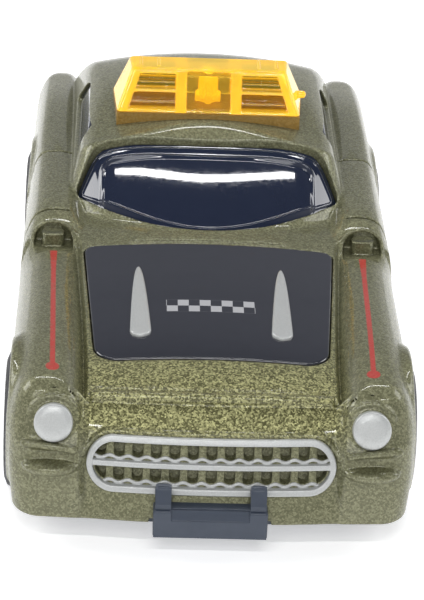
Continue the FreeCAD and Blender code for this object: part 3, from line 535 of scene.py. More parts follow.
def field_mesh(name, field, low, high, cell, faces, mirror=False):
    """Object from a field. A mirrored one is computed for x > 0 and doubled."""
    low, high = np.array(low, float), np.array(high, float)
    if mirror:
        low[0] = -cell / 2
    axes = [np.arange(low[n], high[n] + cell, cell) for n in range(3)]
    values = sample(field, axes)
    points, quads, active = surface_nets(values, low, cell)
    points = settle(field, points, cell)
    if mirror:
        middle = active[:, 0] == 0
        points[middle, 0] = 0
        other = np.where(middle, np.arange(len(points)), np.arange(len(points)) + len(points))
        points = np.concatenate([points, points * (-1, 1, 1)])
        quads = np.concatenate([quads, other[quads][:, ::-1]])
    return finish_mesh(name, field, points, quads, faces)


def add_object(name, data):
    obj = bpy.data.objects.new(name, data)
    bpy.context.scene.collection.objects.link(obj)
    return obj


def finish_mesh(name, field, points, quads, faces):
    """Mesh with at most the given number of triangles and normals taken from the field."""
    mesh = bpy.data.meshes.new(name)
    mesh.from_pydata((points * MM).tolist(), [], quads.tolist())
    obj = add_object(name, mesh)
    if 2 * len(quads) > faces:
        thin = obj.modifiers.new("thin", "DECIMATE")
        thin.ratio = faces / (2 * len(quads))
        bake(obj)
    mesh = obj.data
    count = len(mesh.vertices)
    co = np.empty(count * 3, np.float32)
    mesh.vertices.foreach_get("co", co)
    where = co.reshape(-1, 3).astype(float) / MM
    mesh.polygons.foreach_set("use_smooth", np.ones(len(mesh.polygons), bool))
    g = gradient(field, where, 0.05)
    g /= np.maximum(np.linalg.norm(g, axis=1), 1e-9)[:, None]
    mesh.normals_split_custom_set_from_vertices(g.tolist())
    return obj


def bake(obj):
    """Applies an object's modifiers."""
    graph = bpy.context.evaluated_depsgraph_get()
    made = bpy.data.meshes.new_from_object(obj.evaluated_get(graph))
    obj.modifiers.clear()
    obj.data = made


# Material helpers -----
class Nodes:
    """Short names for building one material."""

    def __init__(self, name):
        self.material = bpy.data.materials.new(name)
        self.material.use_nodes = True
        self.tree = self.material.node_tree
        self.shader = self.tree.nodes["Principled BSDF"]
        self.place = self.add("ShaderNodeTexCoord").outputs["Object"]

    def add(self, kind, **settings):
        node = self.tree.nodes.new(kind)
        for key, value in settings.items():
            setattr(node, key, value)
        return node

    def link(self, source, target):
        self.tree.links.new(source, target)

    def set(self, **values):
        """Constants or outputs for the shader's sockets."""
        for key, value in values.items():
            self.feed(self.shader.inputs[key.replace("_", " ")], value)

    def feed(self, socket, value):
        if hasattr(value, "is_output"):
            self.link(value, socket)
        else:
            socket.default_value = value

    def math(self, operation, *values, clamp=False):
        node = self.add("ShaderNodeMath", operation=operation, use_clamp=clamp)
        for socket, value in zip(node.inputs, values):
            self.feed(socket, value)
        return node.outputs[0]

    def vector(self, operation, *values, scale=None):
        node = self.add("ShaderNodeVectorMath", operation=operation)
        for socket, value in zip(node.inputs, values):
            self.feed(socket, value)
        if scale is not None:
            self.feed(node.inputs["Scale"], scale)
        return node.outputs[0]

    def mix(self, factor, a, b):
        node = self.add("ShaderNodeMix", data_type="RGBA")
        self.feed(node.inputs[0], factor)
        self.feed(node.inputs[6], a)
        self.feed(node.inputs[7], b)
        return node.outputs[2]

    def noise(self, size_mm, detail=3.0, rough=0.55):
        node = self.add("ShaderNodeTexNoise")
        self.link(self.place, node.inputs["Vector"])
        node.inputs["Scale"].default_value = 1 / (size_mm * MM)
        node.inputs["Detail"].default_value = detail
        node.inputs["Roughness"].default_value = rough
        return node.outputs["Fac"]

    def cells(self, size_mm):
        node = self.add("ShaderNodeTexVoronoi")
        self.link(self.place, node.inputs["Vector"])
        node.inputs["Scale"].default_value = 1 / (size_mm * MM)
        return node.outputs["Color"]

    def remap(self, value, low, high, to_low=0.0, to_high=1.0):
        node = self.add("ShaderNodeMapRange")
        self.link(value, node.inputs[0])
        for index, number in enumerate((low, high, to_low, to_high)):
            node.inputs[index + 1].default_value = number
        return node.outputs[0]

    def bump(self, height, depth_mm):
        node = self.add("ShaderNodeBump")
        node.inputs["Distance"].default_value = depth_mm * MM
        self.link(height, node.inputs["Height"])
        return node.outputs[0]

    def axes(self):
        node = self.add("ShaderNodeSeparateXYZ")
        self.link(self.place, node.inputs[0])
        return [self.math("DIVIDE", out, MM) for out in node.outputs]


def flake_paint(name="flake_paint", painted_light_share=0.0):
    """Olive metallic lacquer with coarse flakes, a painted golden sheen on the up-facing bonnet and nose,
    and printed red stripes.

    The second argument sets how much painted amber light, as cast through the light bar's lens, is mixed
    into the colour.
    """
    n = Nodes(name)
    x, y, z = n.axes()
    fine, coarse = n.cells(0.10), n.cells(0.13)
    tilt = n.vector("SUBTRACT", fine, (0.5, 0.5, 0.5))
    normal = n.add("ShaderNodeNewGeometry").outputs["Normal"]
    turned = n.vector("NORMALIZE", n.vector("ADD", normal, n.vector("SCALE", tilt, scale=0.34)))
    split = n.add("ShaderNodeSeparateColor")
    n.link(coarse, split.inputs[0])
    # Painted sheen: forward of the cowl, between the fenders and above the grille, the paint is painted
    # golden and lighter, standing for the light the bonnet catches.
    forward = n.remap(y, -12.0, -31.0)
    centred = n.remap(n.math("ABSOLUTE", x), 11.2, 9.8)
    painted_gold_sheen = n.math("MULTIPLY", n.math("MULTIPLY", forward, centred), n.remap(z, 8.2, 9.6))
    dark = n.mix(painted_gold_sheen, OLIVE_DARK, PAINTED_GOLD_SHEEN_DARK)
    light = n.mix(painted_gold_sheen, OLIVE_LIGHT, PAINTED_GOLD_SHEEN_LIGHT)
    flake = n.remap(split.outputs[0], 0.25, 0.95)
    # Painted light: mixes in the amber that the lens throws on the paint beneath it.
    paint = n.mix(painted_light_share, n.mix(flake, dark, light), PAINTED_AMBER_LIGHT)
    mask = stripe_mask(n, x, y)
    wear = n.remap(n.noise(0.5), 0.3, 0.45)
    mask = n.math("MULTIPLY", mask, n.math("ADD", 0.75, n.math("MULTIPLY", 0.25, wear)), clamp=True)
    n.set(Base_Color=n.mix(mask, paint, STRIPE_RED))
    n.set(Metallic=n.math("MULTIPLY", n.math("SUBTRACT", 1, mask), 0.55))
    n.set(Normal=turned, Coat_Normal=n.bump(n.noise(1.6, 2.0), 0.006))
    n.set(Roughness=0.46, Coat_Weight=0.55, Coat_Roughness=0.04, IOR=1.5)
    return n.material


def stripe_mask(n, x, y):
    """One red line on each fender crest, ending in a dot at the front and flaring at the rear."""
    side = n.math("ABSOLUTE", x)
    centre = n.remap(y, STRIPE_FRONT_Y, STRIPE_REAR_Y, 12.87, 13.5)
    offset = n.math("ABSOLUTE", n.math("SUBTRACT", side, centre))
    flare = n.remap(y, -13.0, STRIPE_REAR_Y, 0.21, 0.34)
    line = n.remap(n.math("SUBTRACT", offset, flare), 0.03, -0.03)
    inside = n.math("MULTIPLY", n.remap(y, STRIPE_FRONT_Y, STRIPE_FRONT_Y + 0.1), n.remap(y, -9.1, -9.2))
    line = n.math("MULTIPLY", line, inside)
    along = n.math("SUBTRACT", y, STRIPE_FRONT_Y)
    reach = n.math("SQRT", n.math("ADD", n.math("POWER", offset, 2.0), n.math("POWER", along, 2.0)))
    return n.math("MAXIMUM", line, n.remap(reach, 0.58, 0.52))


def panel_gloss():
    """Near-black gloss print with a small chequered band."""
    n = Nodes("panel_gloss")
    x, y, _ = n.axes()
    along = n.math("SUBTRACT", y, BAND_Y)
    band = n.math("MULTIPLY", n.remap(n.math("ABSOLUTE", x), 3.75, 3.7),
                  n.remap(n.math("ABSOLUTE", along), 0.94, 0.9))
    checker = n.add("ShaderNodeTexChecker")
    checker.inputs["Scale"].default_value = 1 / (BAND_SQUARE * MM)
    flat = n.add("ShaderNodeCombineXYZ")
    n.link(n.math("MULTIPLY", x, MM), flat.inputs[0])
    n.link(n.math("MULTIPLY", along, MM), flat.inputs[1])
    n.link(flat.outputs[0], checker.inputs["Vector"])
    print_mask = n.math("MULTIPLY", band, checker.outputs["Fac"])
    base = n.mix(n.noise(0.8), (0.010, 0.011, 0.017, 1), (0.016, 0.017, 0.025, 1))
    n.set(Base_Color=n.mix(print_mask, base, (0.42, 0.42, 0.43, 1)))
    n.set(Normal=n.bump(n.noise(2.2, 1.0), 0.01))
    n.set(Roughness=0.09, Coat_Weight=1.0, Coat_Roughness=0.02, IOR=1.5)
    return n.material


def glazing():
    """Dark blue tinted gloss."""
    n = Nodes("glazing")
    n.set(Base_Color=n.mix(n.noise(2.5), (0.012, 0.017, 0.036, 1), (0.016, 0.022, 0.044, 1)))
    n.set(Roughness=n.remap(n.noise(0.4, 5.0, 0.7), 0.35, 0.8, 0.03, 0.10))
    n.set(Normal=n.bump(n.noise(1.8, 2.0), 0.006))
    n.set(IOR=1.52, Coat_Weight=0.4, Coat_Roughness=0.02)
    return n.material


def amber():
    """Clear amber plastic with a painted amber glow along its thick edges, see-through in the panes."""
    n = Nodes("amber_plastic")
    x, _, z = n.axes()
    side = n.math("ABSOLUTE", x)
    t = n.math("DIVIDE", n.math("SUBTRACT", z, BAR_LOW), BAR_TALL)
    edge = n.math("SUBTRACT", n.math("SUBTRACT", 7.4, n.math("MULTIPLY", t, 1.3)), side)
    rows = -1.0
    for low, high in BAR_ROWS:
        off = n.math("ABSOLUTE", n.math("SUBTRACT", t, (low + high) / 2))
        rows = n.math("MAXIMUM", n.math("SUBTRACT", (high - low) / 2, off), rows)
    pane = n.math("MULTIPLY", n.remap(edge, -0.05, 0.05), n.remap(rows, -0.01, 0.01))
    pane = n.math("MULTIPLY", pane, n.remap(side, 2.95, 3.05))
    middle = n.math("MULTIPLY", n.remap(side, 2.1, 1.95), n.remap(t, 0.95, 0.9))
    pane = n.math("MAXIMUM", pane, n.math("MULTIPLY", middle, 0.85))
    tint = n.mix(n.noise(1.5), (1.0, 0.70, 0.06, 1), (1.0, 0.76, 0.10, 1))
    n.set(Base_Color=n.mix(pane, tint, (1.0, 0.84, 0.22, 1)))
    n.set(Transmission_Weight=n.remap(pane, 0.0, 1.0, 0.62, 1.0))
    # Painted glow: the thick edges emit a little amber light, though the bar holds no lamp.
    n.set(Emission_Strength=n.remap(pane, 0.0, 1.0, 0.20, 0.0))
    n.set(Normal=n.bump(n.noise(0.9, 2.0), 0.008))
    n.set(Roughness=0.04, IOR=1.49, Emission_Color=(1.0, 0.55, 0.0, 1))
    return n.material


def amber_core():
    """Milkier amber of the beacon, with a painted amber glow."""
    n = Nodes("amber_core")
    n.set(Base_Color=n.mix(n.noise(0.7), (1.0, 0.74, 0.12, 1), (1.0, 0.80, 0.18, 1)))
    n.set(Normal=n.bump(n.noise(0.5, 2.0), 0.01))
    n.set(Roughness=0.10, Transmission_Weight=0.35, IOR=1.49)
    # Painted glow: the beacon emits amber light, though it holds no lamp.
    n.set(Emission_Color=(1.0, 0.62, 0.03, 1), Emission_Strength=0.45)
    return n.material


def silver():
    """Silver lacquer, slightly grainy."""
    n = Nodes("silver_lacquer")
    grain = n.noise(0.12, 4.0, 0.7)
    n.set(Base_Color=n.mix(grain, (0.34, 0.35, 0.34, 1), (0.60, 0.61, 0.60, 1)))
    n.set(Normal=n.bump(grain, 0.02))
    n.set(Roughness=n.remap(n.noise(0.5), 0.3, 0.7, 0.3, 0.45))
    n.set(Metallic=0.35, Coat_Weight=0.3, Coat_Roughness=0.15)
    return n.material


def base_plastic():
    """Slate-blue moulded plastic."""
    n = Nodes("base_plastic")
    n.set(Base_Color=n.mix(n.noise(1.2, 4.0), (0.026, 0.036, 0.056, 1), (0.040, 0.052, 0.076, 1)))
    n.set(Normal=n.bump(n.noise(0.18, 4.0, 0.6), 0.012))
    n.set(Roughness=n.remap(n.noise(0.8), 0.3, 0.7, 0.32, 0.46))
    n.set(IOR=1.5)
    return n.material


def rubber():
    """Matt black with a fine grain."""
    n = Nodes("tyre_rubber")
    n.set(Base_Color=n.mix(n.noise(0.6, 4.0), (0.010, 0.010, 0.011, 1), (0.022, 0.022, 0.024, 1)))
    n.set(Normal=n.bump(n.noise(0.15, 4.0, 0.7), 0.02))
    n.set(Roughness=n.remap(n.noise(0.5), 0.3, 0.7, 0.5, 0.7))
    return n.material


def metal(name, dark, light, rough, size_mm=0.35):
    """Turned or pressed metal with fine marks."""
    n = Nodes(name)
    marks = n.noise(size_mm, 6.0, 0.7)
    n.set(Base_Color=n.mix(marks, dark, light))
    n.set(Roughness=n.remap(marks, 0.3, 0.7, rough * 0.8, rough * 1.3))
    n.set(Normal=n.bump(n.noise(size_mm * 0.4, 5.0, 0.7), 0.01))
    n.set(Metallic=1.0)
    return n.material


def gear_plastic():
    """Natural, slightly waxy nylon."""
    n = Nodes("gear_plastic")
    n.set(Base_Color=n.mix(n.noise(1.0), (0.62, 0.60, 0.54, 1), (0.72, 0.70, 0.64, 1)))
    n.set(Normal=n.bump(n.noise(0.2, 4.0), 0.01))
    n.set(Roughness=n.remap(n.noise(0.6), 0.3, 0.7, 0.3, 0.5))
    n.set(Subsurface_Weight=0.1, Subsurface_Scale=0.0006)
    return n.material


# Pieces -----
def dress(obj, material, slot, *replaced, body="car"):
    """Gives a piece its material and body, and hides the CAD nodes it stands in for. The slot argument is
    not used.
    """
    obj.data.materials.clear()
    obj.data.materials.append(material)
    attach(obj, body)
    if replaced:
        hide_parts(*replaced)


def make_piece(name, field, box, cell, faces, look, mirror=True):
    """Piece from a field in a box. look is its material, slot and the CAD node it replaces."""
    dress(field_mesh(name, field, *box, cell, faces, mirror), *look)


def make_body(paint):
    box = (0, -38.6, 2.0), (17.1, 38.7, 21.0)
    make_piece("body", body_field, box, BODY_CELL, BODY_FACES, (paint, "body_paint", "body_shell"))


def slot_rows(s, x, z):
    """Distance to the upright slots of both grille rows."""
    best = np.full(np.shape(x), 9.0)
    offset = x - SLOT_PITCH * np.clip(np.round(x / SLOT_PITCH), -6, 6)
    for centre_z in SLOT_ROWS_Z:
        best = np.minimum(best, round_box((offset, z - centre_z), (0.41, 0.60), 0.3))
    return np.maximum(best, grille_outline(s, z) + GRILLE["ring"] + 0.12)


def grille_insert_field(x, y, z):
    """Painted floor of the grille with its upright slots."""
    s = np.abs(x)
    d = front_distance(s, y, z)
    slab = meet(np.abs(d + 0.72) - 0.48, grille_outline(s, z) + 0.22, 0.05)
    pockets = np.maximum(slot_rows(s, x, z), -1.0 - d)
    return carve(slab, pockets, 0.08)


def grille_trim_field(x, y, z):
    """Silver ring, middle bar and the scalloped ledge under each row."""
    s = np.abs(x)
    d = front_distance(s, y, z) / 0.9
    edge = grille_outline(s, z)
    ring = round_box((edge + GRILLE["ring"] / 2, d + 0.2), (GRILLE["ring"] / 2, 0.42), 0.12)
    bar = round_box((z - GRILLE["z"], d + 0.24), (0.22, 0.36), 0.1)
    f = join(ring, np.maximum(bar, edge + 0.2), 0.1)
    offset = x - SLOT_PITCH * np.round(x / SLOT_PITCH)
    for floor_z in LEDGE_ROWS_Z:
        bottom = floor_z + 0.26 - 0.11 * np.cos(np.clip(offset / SLOT_PITCH, -0.5, 0.5) * 2 * math.pi)
        ledge = round_box((z - bottom, d + 0.42), (0.13, 0.26), 0.07)
        f = join(f, np.maximum(ledge, edge + 0.35), 0.05)
    return f


def make_grille(paint, shine):
    box = (0, -38.2, 4.5), (10.3, -31.8, 9.3)
    make_piece("grille_floor", grille_insert_field, box, DETAIL_CELL, 60000, (paint, "body_paint"))
    make_piece("grille_trim", grille_trim_field, box, DETAIL_CELL, 60000, (shine, "silver"))


def lamp_field(x, y, z):
    """Domed headlamp face on a short barrel."""
    run, away, _, _ = lamp_frame(x, y, z)
    barrel = meet(away - 1.55, np.abs(run - 0.05) - 0.85, 0.22)
    return meet(barrel, tube(away, run + 1.9, 2.95), 0.12)


def tail_lamp_field(x, y, z):
    """Domed round tail lamp."""
    away = tube(x - TAIL_LAMP_X, z - TAIL_LAMP_Z, 0)
    barrel = meet(away - 0.85, 36.2 - y, 0.1)
    return meet(barrel, tube(away, y - 35.7, 1.95), 0.1)


def lamp_pair(kind, field, low, high, faces, shine):
    """A left lamp from a field and box, and the right one mirrored."""
    for word, side in (("left", 1), ("right", -1)):
        def mirrored(x, y, z, side=side):
            return field(x * side, y, z)
        near, far = sorted((side * low[0], side * high[0]))
        box = (near, *low[1:]), (far, *high[1:])
        make_piece(f"{kind}_{word}", mirrored, box, DETAIL_CELL, faces, (shine, "silver"), mirror=False)


def make_lamps(shine):
    lamp_pair("headlamp", lamp_field, (10.8, -36.4, 8.0), (14.4, -33.0, 12.0), 9000, shine)
    lamp_pair("tail_lamp", tail_lamp_field, (12.8, 35.9, 8.5), (15.0, 38.0, 10.7), 4000, shine)


def teardrop_distance(s, y):
    """Distance in plan to a teardrop, round in front and pointed at the rear."""
    behind = y - TEARDROP["front_y"]
    along = np.clip(behind / TEARDROP["length"], 0, 1)
    width = TEARDROP["radius"] * (1 - along) ** 0.42
    centre = TEARDROP["x"] + 0.25 * along
    round_end = tube(s - TEARDROP["x"], behind, TEARDROP["radius"])
    tail = np.maximum(np.abs(s - centre) - width, behind - TEARDROP["length"])
    return np.where(behind < 0, round_end, tail)


def panel_field(x, y, z):
    """Thin plate that follows the bonnet."""
    s = np.abs(x)
    top = over(lower_height, s, y, z) - 0.05
    return meet(meet(top, -top - 0.62, 0.05), panel_outline(s, y), 0.14)


def teardrop_field(x, y, z):
    """Teardrops standing a little above the bonnet panel."""
    s = np.abs(x)
    top = over(lower_height, s, y, z)
    return meet(np.abs(top - 0.05) - 0.24, teardrop_distance(s, y), 0.16)


def make_panel(gloss, shine):
    box = (0, -28.2, 11.0), (10.9, -9.2, 14.4)
    look = gloss, "panel_gloss", "bonnet_panel"
    make_piece("bonnet_inlay", panel_field, box, DETAIL_CELL * 1.6, 40000, look)
    box = (0, -24.8, 11.5), (7.4, -13.0, 14.6)
    look = shine, "silver", "bonnet_panel"
    make_piece("bonnet_drops", teardrop_field, box, DETAIL_CELL, 12000, look)


def screen_field(x, y, z):
    """Wrap-round windscreen with a stepped rim and a thin ridge round the main pane."""
    s = np.abs(x)
    height = over(cabin_height, s, y, z)
    edge = screen_outline(s, y)
    pane = meet(meet(y - 1.6, s - 9.4, 0.9), edge + 0.3, 0.3)
    slope = 0.26 * (s / 11) ** 2 * (y + 1.5)
    bulge = 0.012 * (y + 2.0) ** 2
    inner = -0.36 - 0.8 * slope - bulge
    outer = -0.5 - 0.3 * slope - 0.02 * np.maximum(s - 9.4, 0) ** 2
    step = 1 - ramp(pane, -0.18, 0.12)
    pane_ridge = 0.07 * np.exp(-((pane - 0.1) / 0.14) ** 2)
    rim_ridge = 0.08 * np.exp(-((edge + 0.55) / 0.12) ** 2)
    level = outer + (inner - outer) * step + pane_ridge + rim_ridge
    return meet(np.maximum(height - level, -height - 2.4), edge + 0.07, 0.08)


def rear_pane_field(x, y, z):
    """Rear window with a thin ridge inside its edge."""
    s = np.abs(x)
    height = over(cabin_height, s, y, z)
    edge = rear_window_outline(s, y)
    level = -0.32 + 0.1 * np.exp(-((edge + 0.7) / 0.2) ** 2)
    return meet(np.maximum(height - level, -height - 1.4), edge + 0.07, 0.08)


def side_pane_field(x, y, z):
    """Flat side window, set into the cabin's wall."""
    s = np.abs(x)
    depth = (s - cabin_section(z)) * 0.96
    return meet(np.maximum(depth + 0.3, -depth - 1.4), side_window_outline(y, z) + 0.07, 0.08)


def make_glass(glass):
    fine, coarse = DETAIL_CELL * 1.2, DETAIL_CELL * 1.6
    look = glass, "glazing", "window_insert"
    box = (0, -7.4, 12.6), (12.4, 3.6, 20.2)
    make_piece("windscreen", screen_field, box, fine, 70000, look)
    box = (0, 24.6, 13.0), (9.6, 30.6, 19.8)
    make_piece("rear_window", rear_pane_field, box, coarse, 16000, look)
    box = (9.0, 2.6, 14.8), (12.8, 21.4, 19.0)
    pane = field_mesh("side_windows", side_pane_field, *box, coarse, 16000)
    other = pane.copy()
    other.data = pane.data.copy()
    other.data.transform(Matrix.Scale(-1, 4, (1, 0, 0)))
    other.data.flip_normals()
    other.name = "side_windows_right"
    bpy.context.scene.collection.objects.link(other)
    dress(pane, *look)
    dress(other, *look)


# Light bar -----
def bar_faces(x, y, z, inset, top_inset):
    """Distances outside the four faces of the tapering block of the light bar."""
    t = (z - BAR_LOW) / BAR_TALL
    front = (5.5 + 2.4 * t + inset - y) * 0.82
    back = (y - 11.4 + 0.4 * t + inset) * 0.99
    side = (np.abs(x) - (8.55 + 0.068 * (y - 8.5)) + 1.5 * t + inset) * 0.92
    top = z - BAR_HIGH + top_inset
    return front, back, side, top


def add_bar_panes(f, x, t, front):
    """Two rows of sunk panes on each side of the front, and the sunk middle before the beacon."""
    for low, high in BAR_ROWS:
        rows = (np.abs(t - (low + high) / 2) - (high - low) / 2) * BAR_TALL
        wide = np.maximum(3.0 - np.abs(x), np.abs(x) - (7.4 - 1.3 * t))
        f = carve(f, np.maximum(meet(rows, wide, 0.15), -front - 0.38), 0.07)
        ledge = np.abs(t - (low + (high - low) * 0.45)) * BAR_TALL - 0.09
        ledge = np.maximum(np.maximum(ledge, wide), np.maximum(front + 0.2, -front - 0.5))
        f = join(f, ledge, 0.05)
    middle = meet(np.abs(x) - 2.05, np.abs(t - 0.5) * BAR_TALL - 1.5, 0.2)
    return carve(f, np.maximum(middle, -front - 0.3), 0.08)


def lens_field(x, y, z):
    """Hollow amber cover with ribs inside, ribs on top and a moulding nub at its left end."""
    front, back, side, top = bar_faces(x, y, z, 0.0, 0.0)
    f = meet(meet(meet(front, back, 0.2), side, 0.3), top, 0.2)
    f = np.maximum(f, BAR_LOW + 0.02 - z)
    hollow = np.maximum.reduce(bar_faces(x, y, z, 0.85, 0.8))
    rib = np.abs(np.abs(x) - 2.5) - 0.28
    f = np.maximum(f, -np.maximum(hollow, -rib))
    f = add_bar_panes(f, x, (z - BAR_LOW) / BAR_TALL, front)
    for rib_x in (-6.2, -4.6, 4.6, 6.2):
        top_rib = np.maximum(np.abs(x - rib_x) - 0.12, np.abs(y - 9.45) - 1.0)
        f = join(f, np.maximum(top_rib, np.abs(top) - 0.07), 0.05)
    nub = pill(x, y, z, (8.3, 9.3, 21.0), (8.72, 9.3, 21.0), 0.34)
    return join(f, nub, 0.12)


def beacon_field(x, y, z):
    """Domed lamp with a flame relief on a wavy collar."""
    dx, dy = x, y - BEACON_Y
    away = tube(dx, dy, 0)
    angle = np.arctan2(dx, -dy)
    dome = pill(x, y, z, (0, BEACON_Y, 20.3), (0, BEACON_Y, 22.15), 0.85)
    ribs = dome - 0.05 * np.cos(6 * angle) ** 6
    wave = 0.22 * np.cos(5 * angle) + 0.12 * np.cos(9 * angle)
    collar = meet(away - 1.2, np.abs(z - 20.62) - 0.32 - wave, 0.12)
    flame_z = np.clip((z - 20.9) / 1.3, 0, 1)
    flame = np.abs(dx - 0.12 * np.sin(7 * flame_z)) - 0.32 * (1 - flame_z) ** 0.8
    relief = np.maximum(np.maximum(flame, np.abs(z - 21.6) - 0.75), np.maximum(dy, away - 0.98))
    return join(join(ribs, collar, 0.1), relief, 0.08)


def make_bar(clear, core):
    box = (-9.2, 5.1, 20.0), (9.3, 11.9, 24.0)
    look = clear, "amber", "light_bar_lens"
    make_piece("light_bar", lens_field, box, DETAIL_CELL * 1.1, 110000, look, mirror=False)
    box = (-1.7, 7.5, 20.1), (1.7, 10.8, 23.1)
    look = core, "amber", "beacon_lamp"
    make_piece("beacon", beacon_field, box, DETAIL_CELL * 0.8, 26000, look, mirror=False)


# Push bumper -----
def bumper_field(x, y, z):
    """Rounded block under the grille with a sunk face, a ragged flash line and two overriders."""
    s = np.abs(x)
    block = round_box((s, y - BUMPER_Y, z - 2.95), (4.55, 0.85, 1.22), 0.22)
    sunk = round_box((s, y + 38.2, z - 3.75), (3.1, 0.62, 0.42), 0.1)
    f = carve(block, sunk, 0.08)
    ragged = 0.05 * np.sin(3.1 * x) + 0.05 * np.sin(7.7 * x + 1.0)
    flash = tube(z - 3.36 - ragged, y + 37.75, 0.085)
    f = join(f, np.maximum(flash, s - 2.9), 0.04)
    bar = pill(0 * s, y, z, (0, -37.45, 3.0), (0, -36.95, 5.2), 0.48)
    post = meet(np.abs(s - OVERRIDER_X) - 0.62, bar, 0.14)
    knob = round_box((s - OVERRIDER_X, y + 36.95, z - 5.35), (0.62, 0.5, 0.5), 0.24)
    return join(f, join(post, knob, 0.15), 0.12)


def make_bumper(plastic):
    box = (0, -38.3, 1.5), (4.9, -35.9, 6.2)
    make_piece("push_bumper", bumper_field, box, DETAIL_CELL, 26000, (plastic, "base_plastic"))


# CAD parts carried over -----
def soften(node, width_mm):
    """Bevels the sharp edges of a CAD part."""
    weld = node.modifiers.new("weld", "WELD")
    weld.merge_threshold = 0.002 * MM
    bevel = node.modifiers.new("bevel", "BEVEL")
    bevel.width = width_mm * MM
    bevel.segments = 2
    bevel.limit_method = "ANGLE"
    bevel.angle_limit = math.radians(35)
    bevel.use_clamp_overlap = True


def dress_cad(materials):
    """Gives each CAD part that is kept its finish and softened edges."""
    finishes = {
        "chassis_base": ("base_plastic", 0.08),
        "front_axle_keeper": ("base_plastic", 0.06),
        # The light bar's base gets the paint with painted amber light mixed in.
        "light_bar_base": ("painted_glow_paint", 0.05),
        "flywheel": ("flywheel", 0.12),
        "front_axle": ("steel", 0.08),
        "rear_axle": ("steel", 0.08),
        "keeper_screws": ("steel", 0.04),
    }
    for name in ("base_screws", "compound_arbor", "flywheel_arbor", "motor_plate_left",
                 "motor_plate_right", "motor_spacers", "motor_rivets"):
        finishes[name] = ("steel", 0.05)
    for name in ("drive_gear", "compound_gear", "flywheel_pinion"):
        finishes[name] = ("gear", 0.03)
    for end in ("front", "rear"):
        for side in ("left", "right"):
            finishes[f"{end}_{side}_hub"] = ("hub", 0.07)
            finishes[f"{end}_{side}_tyre"] = ("rubber", 0.05)
    for name, (finish, width) in finishes.items():
        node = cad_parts[name]
        node.data.materials.clear()
        node.data.materials.append(materials[finish])
        soften(node, width)


# Camera, lights and floor -----
def make_camera():
    data = bpy.data.cameras.new("camera")
    data.sensor_width = SENSOR
    data.lens = SENSOR * CAMERA_FOCAL_SHARE
    data.clip_start, data.clip_end = 0.01, 5.0
    camera = add_object("camera", data)
    yaw, pitch, roll = (math.radians(a) for a in (CAMERA_YAW, CAMERA_PITCH, CAMERA_ROLL))
    level = Vector((math.sin(yaw), math.cos(yaw), 0))
    forward = level * math.cos(pitch) - Vector((0, 0, math.sin(pitch)))
    right = Vector((math.cos(yaw), -math.sin(yaw), 0))
    up = right.cross(forward)
    rolled_right = right * math.cos(roll) + up * math.sin(roll)
    rolled_up = up * math.cos(roll) - right * math.sin(roll)
    turn = Matrix((rolled_right, rolled_up, -forward)).transposed()
    camera.matrix_world = Matrix.Translation(Vector(CAMERA_AT) * MM) @ turn.to_4x4()
    bpy.context.scene.camera = camera


def make_world():
    """White surroundings that darken towards the zenith."""
    world = bpy.data.worlds.new("studio")
    bpy.context.scene.world = world
    world.use_nodes = True
    tree = world.node_tree
    coord = tree.nodes.new("ShaderNodeTexCoord")
    split = tree.nodes.new("ShaderNodeSeparateXYZ")
    shades = tree.nodes.new("ShaderNodeValToRGB")
    stops = shades.color_ramp.elements
    stops.new(0.42).color = (0.36, 0.37, 0.40, 1)
    stops.new(0.62).color = (0.25, 0.26, 0.29, 1)
    tree.links.new(coord.outputs["Generated"], split.inputs[0])
    tree.links.new(split.outputs[2], shades.inputs[0])
    tree.links.new(shades.outputs[0], tree.nodes["Background"].inputs["Color"])
    stops[0].position, stops[0].color = 0.18, (0.75, 0.75, 0.75, 1)
    stops[-1].position, stops[-1].color = 0.80, (0.08, 0.085, 0.095, 1)
    tree.nodes["Background"].inputs["Strength"].default_value = 1.0


def make_lights():
    """Area lights, each with its longer side kept level."""
    for name, place, aim, size, power in AREA_LIGHTS:
        light = bpy.data.lights.new(name, "AREA")
        light.shape = "RECTANGLE"
        light.size, light.size_y = size[0] * MM, size[1] * MM
        light.energy = power
        lamp = add_object(name, light)
        lamp.location = Vector(place) * MM
        back = (lamp.location - Vector(aim) * MM).normalized()
        across = (Vector((1, 0, 0)) - back * back.x).normalized()
        lamp.rotation_mode = "QUATERNION"
        lamp.rotation_quaternion = Matrix((across, back.cross(across), back)).transposed().to_quaternion()


def stage_mesh(name, verts, faces, material):
    """Mesh for the set, not for the toy."""
    mesh = bpy.data.meshes.new(name)
    mesh.from_pydata(verts, [], faces)
    mesh.materials.append(material)
    return add_object(name, mesh)


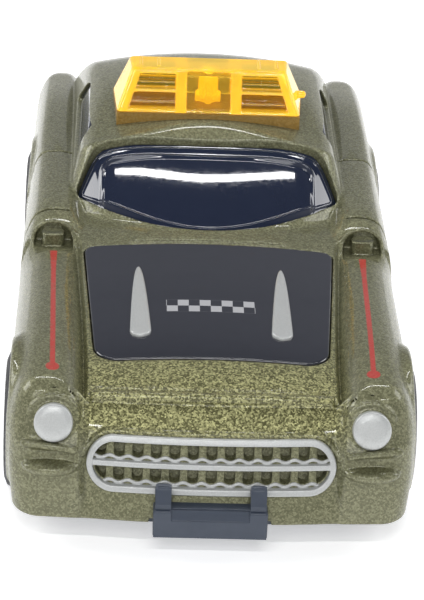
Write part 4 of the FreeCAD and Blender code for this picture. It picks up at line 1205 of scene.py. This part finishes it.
def make_strip_light():
    """Bent strip of light overhead, which the windscreen mirrors as a band."""
    verts, quads = [], []
    for index in range(STRIP["steps"] + 1):
        x = STRIP["half_length"] * (2 * index / STRIP["steps"] - 1)
        y = STRIP["y"] + STRIP["bend"] * (x / STRIP["bend_x"]) ** 2
        for edge_y in (y - STRIP["half_width"], y + STRIP["half_width"]):
            verts.append((x * MM, edge_y * MM, STRIP["z"] * MM))
        if index:
            quads.append((2 * index - 2, 2 * index - 1, 2 * index + 1, 2 * index))
    n = Nodes("strip_light")
    n.set(Base_Color=(0, 0, 0, 1), Emission_Color=(1, 1, 1, 1), Emission_Strength=26.0)
    strip = stage_mesh("strip_light", verts, quads, n.material)


def make_floor():
    """White table top that glows a little, so that it renders white out to the picture's edge."""
    half = FLOOR_HALF
    verts = [(-half, -half, 0), (half, -half, 0), (half, half, 0), (-half, half, 0)]
    n = Nodes("white_table")
    n.set(Base_Color=(0.93, 0.93, 0.93, 1), Roughness=0.6, Specular_IOR_Level=0.1,
          Emission_Color=(1, 1, 1, 1), Emission_Strength=0.47)
    floor = stage_mesh("floor", verts, [(0, 1, 2, 3)], n.material)


def main():
    bpy.context.scene.view_settings.view_transform = "Standard"
    paint, shine, plastic = flake_paint(), silver(), base_plastic()
    materials = {
        # Paint under the light bar, with painted amber light mixed in.
        "painted_glow_paint": flake_paint("paint_with_painted_amber_light", 0.7),
        "base_plastic": plastic,
        "rubber": rubber(),
        "gear": gear_plastic(),
        "steel": metal("steel", (0.34, 0.34, 0.35, 1), (0.58, 0.58, 0.60, 1), 0.3),
        "flywheel": metal("flywheel_metal", (0.22, 0.20, 0.17, 1), (0.42, 0.38, 0.32, 1), 0.35),
        "hub": metal("hub_chrome", (0.50, 0.50, 0.51, 1), (0.72, 0.72, 0.73, 1), 0.22),
    }
    dress_cad(materials)
    make_body(paint)
    make_grille(paint, shine)
    make_lamps(shine)
    make_panel(panel_gloss(), shine)
    make_glass(glazing())
    make_bar(amber(), amber_core())
    make_bumper(plastic)
    make_camera()
    make_world()
    make_lights()
    make_strip_light()
    make_floor()


main()
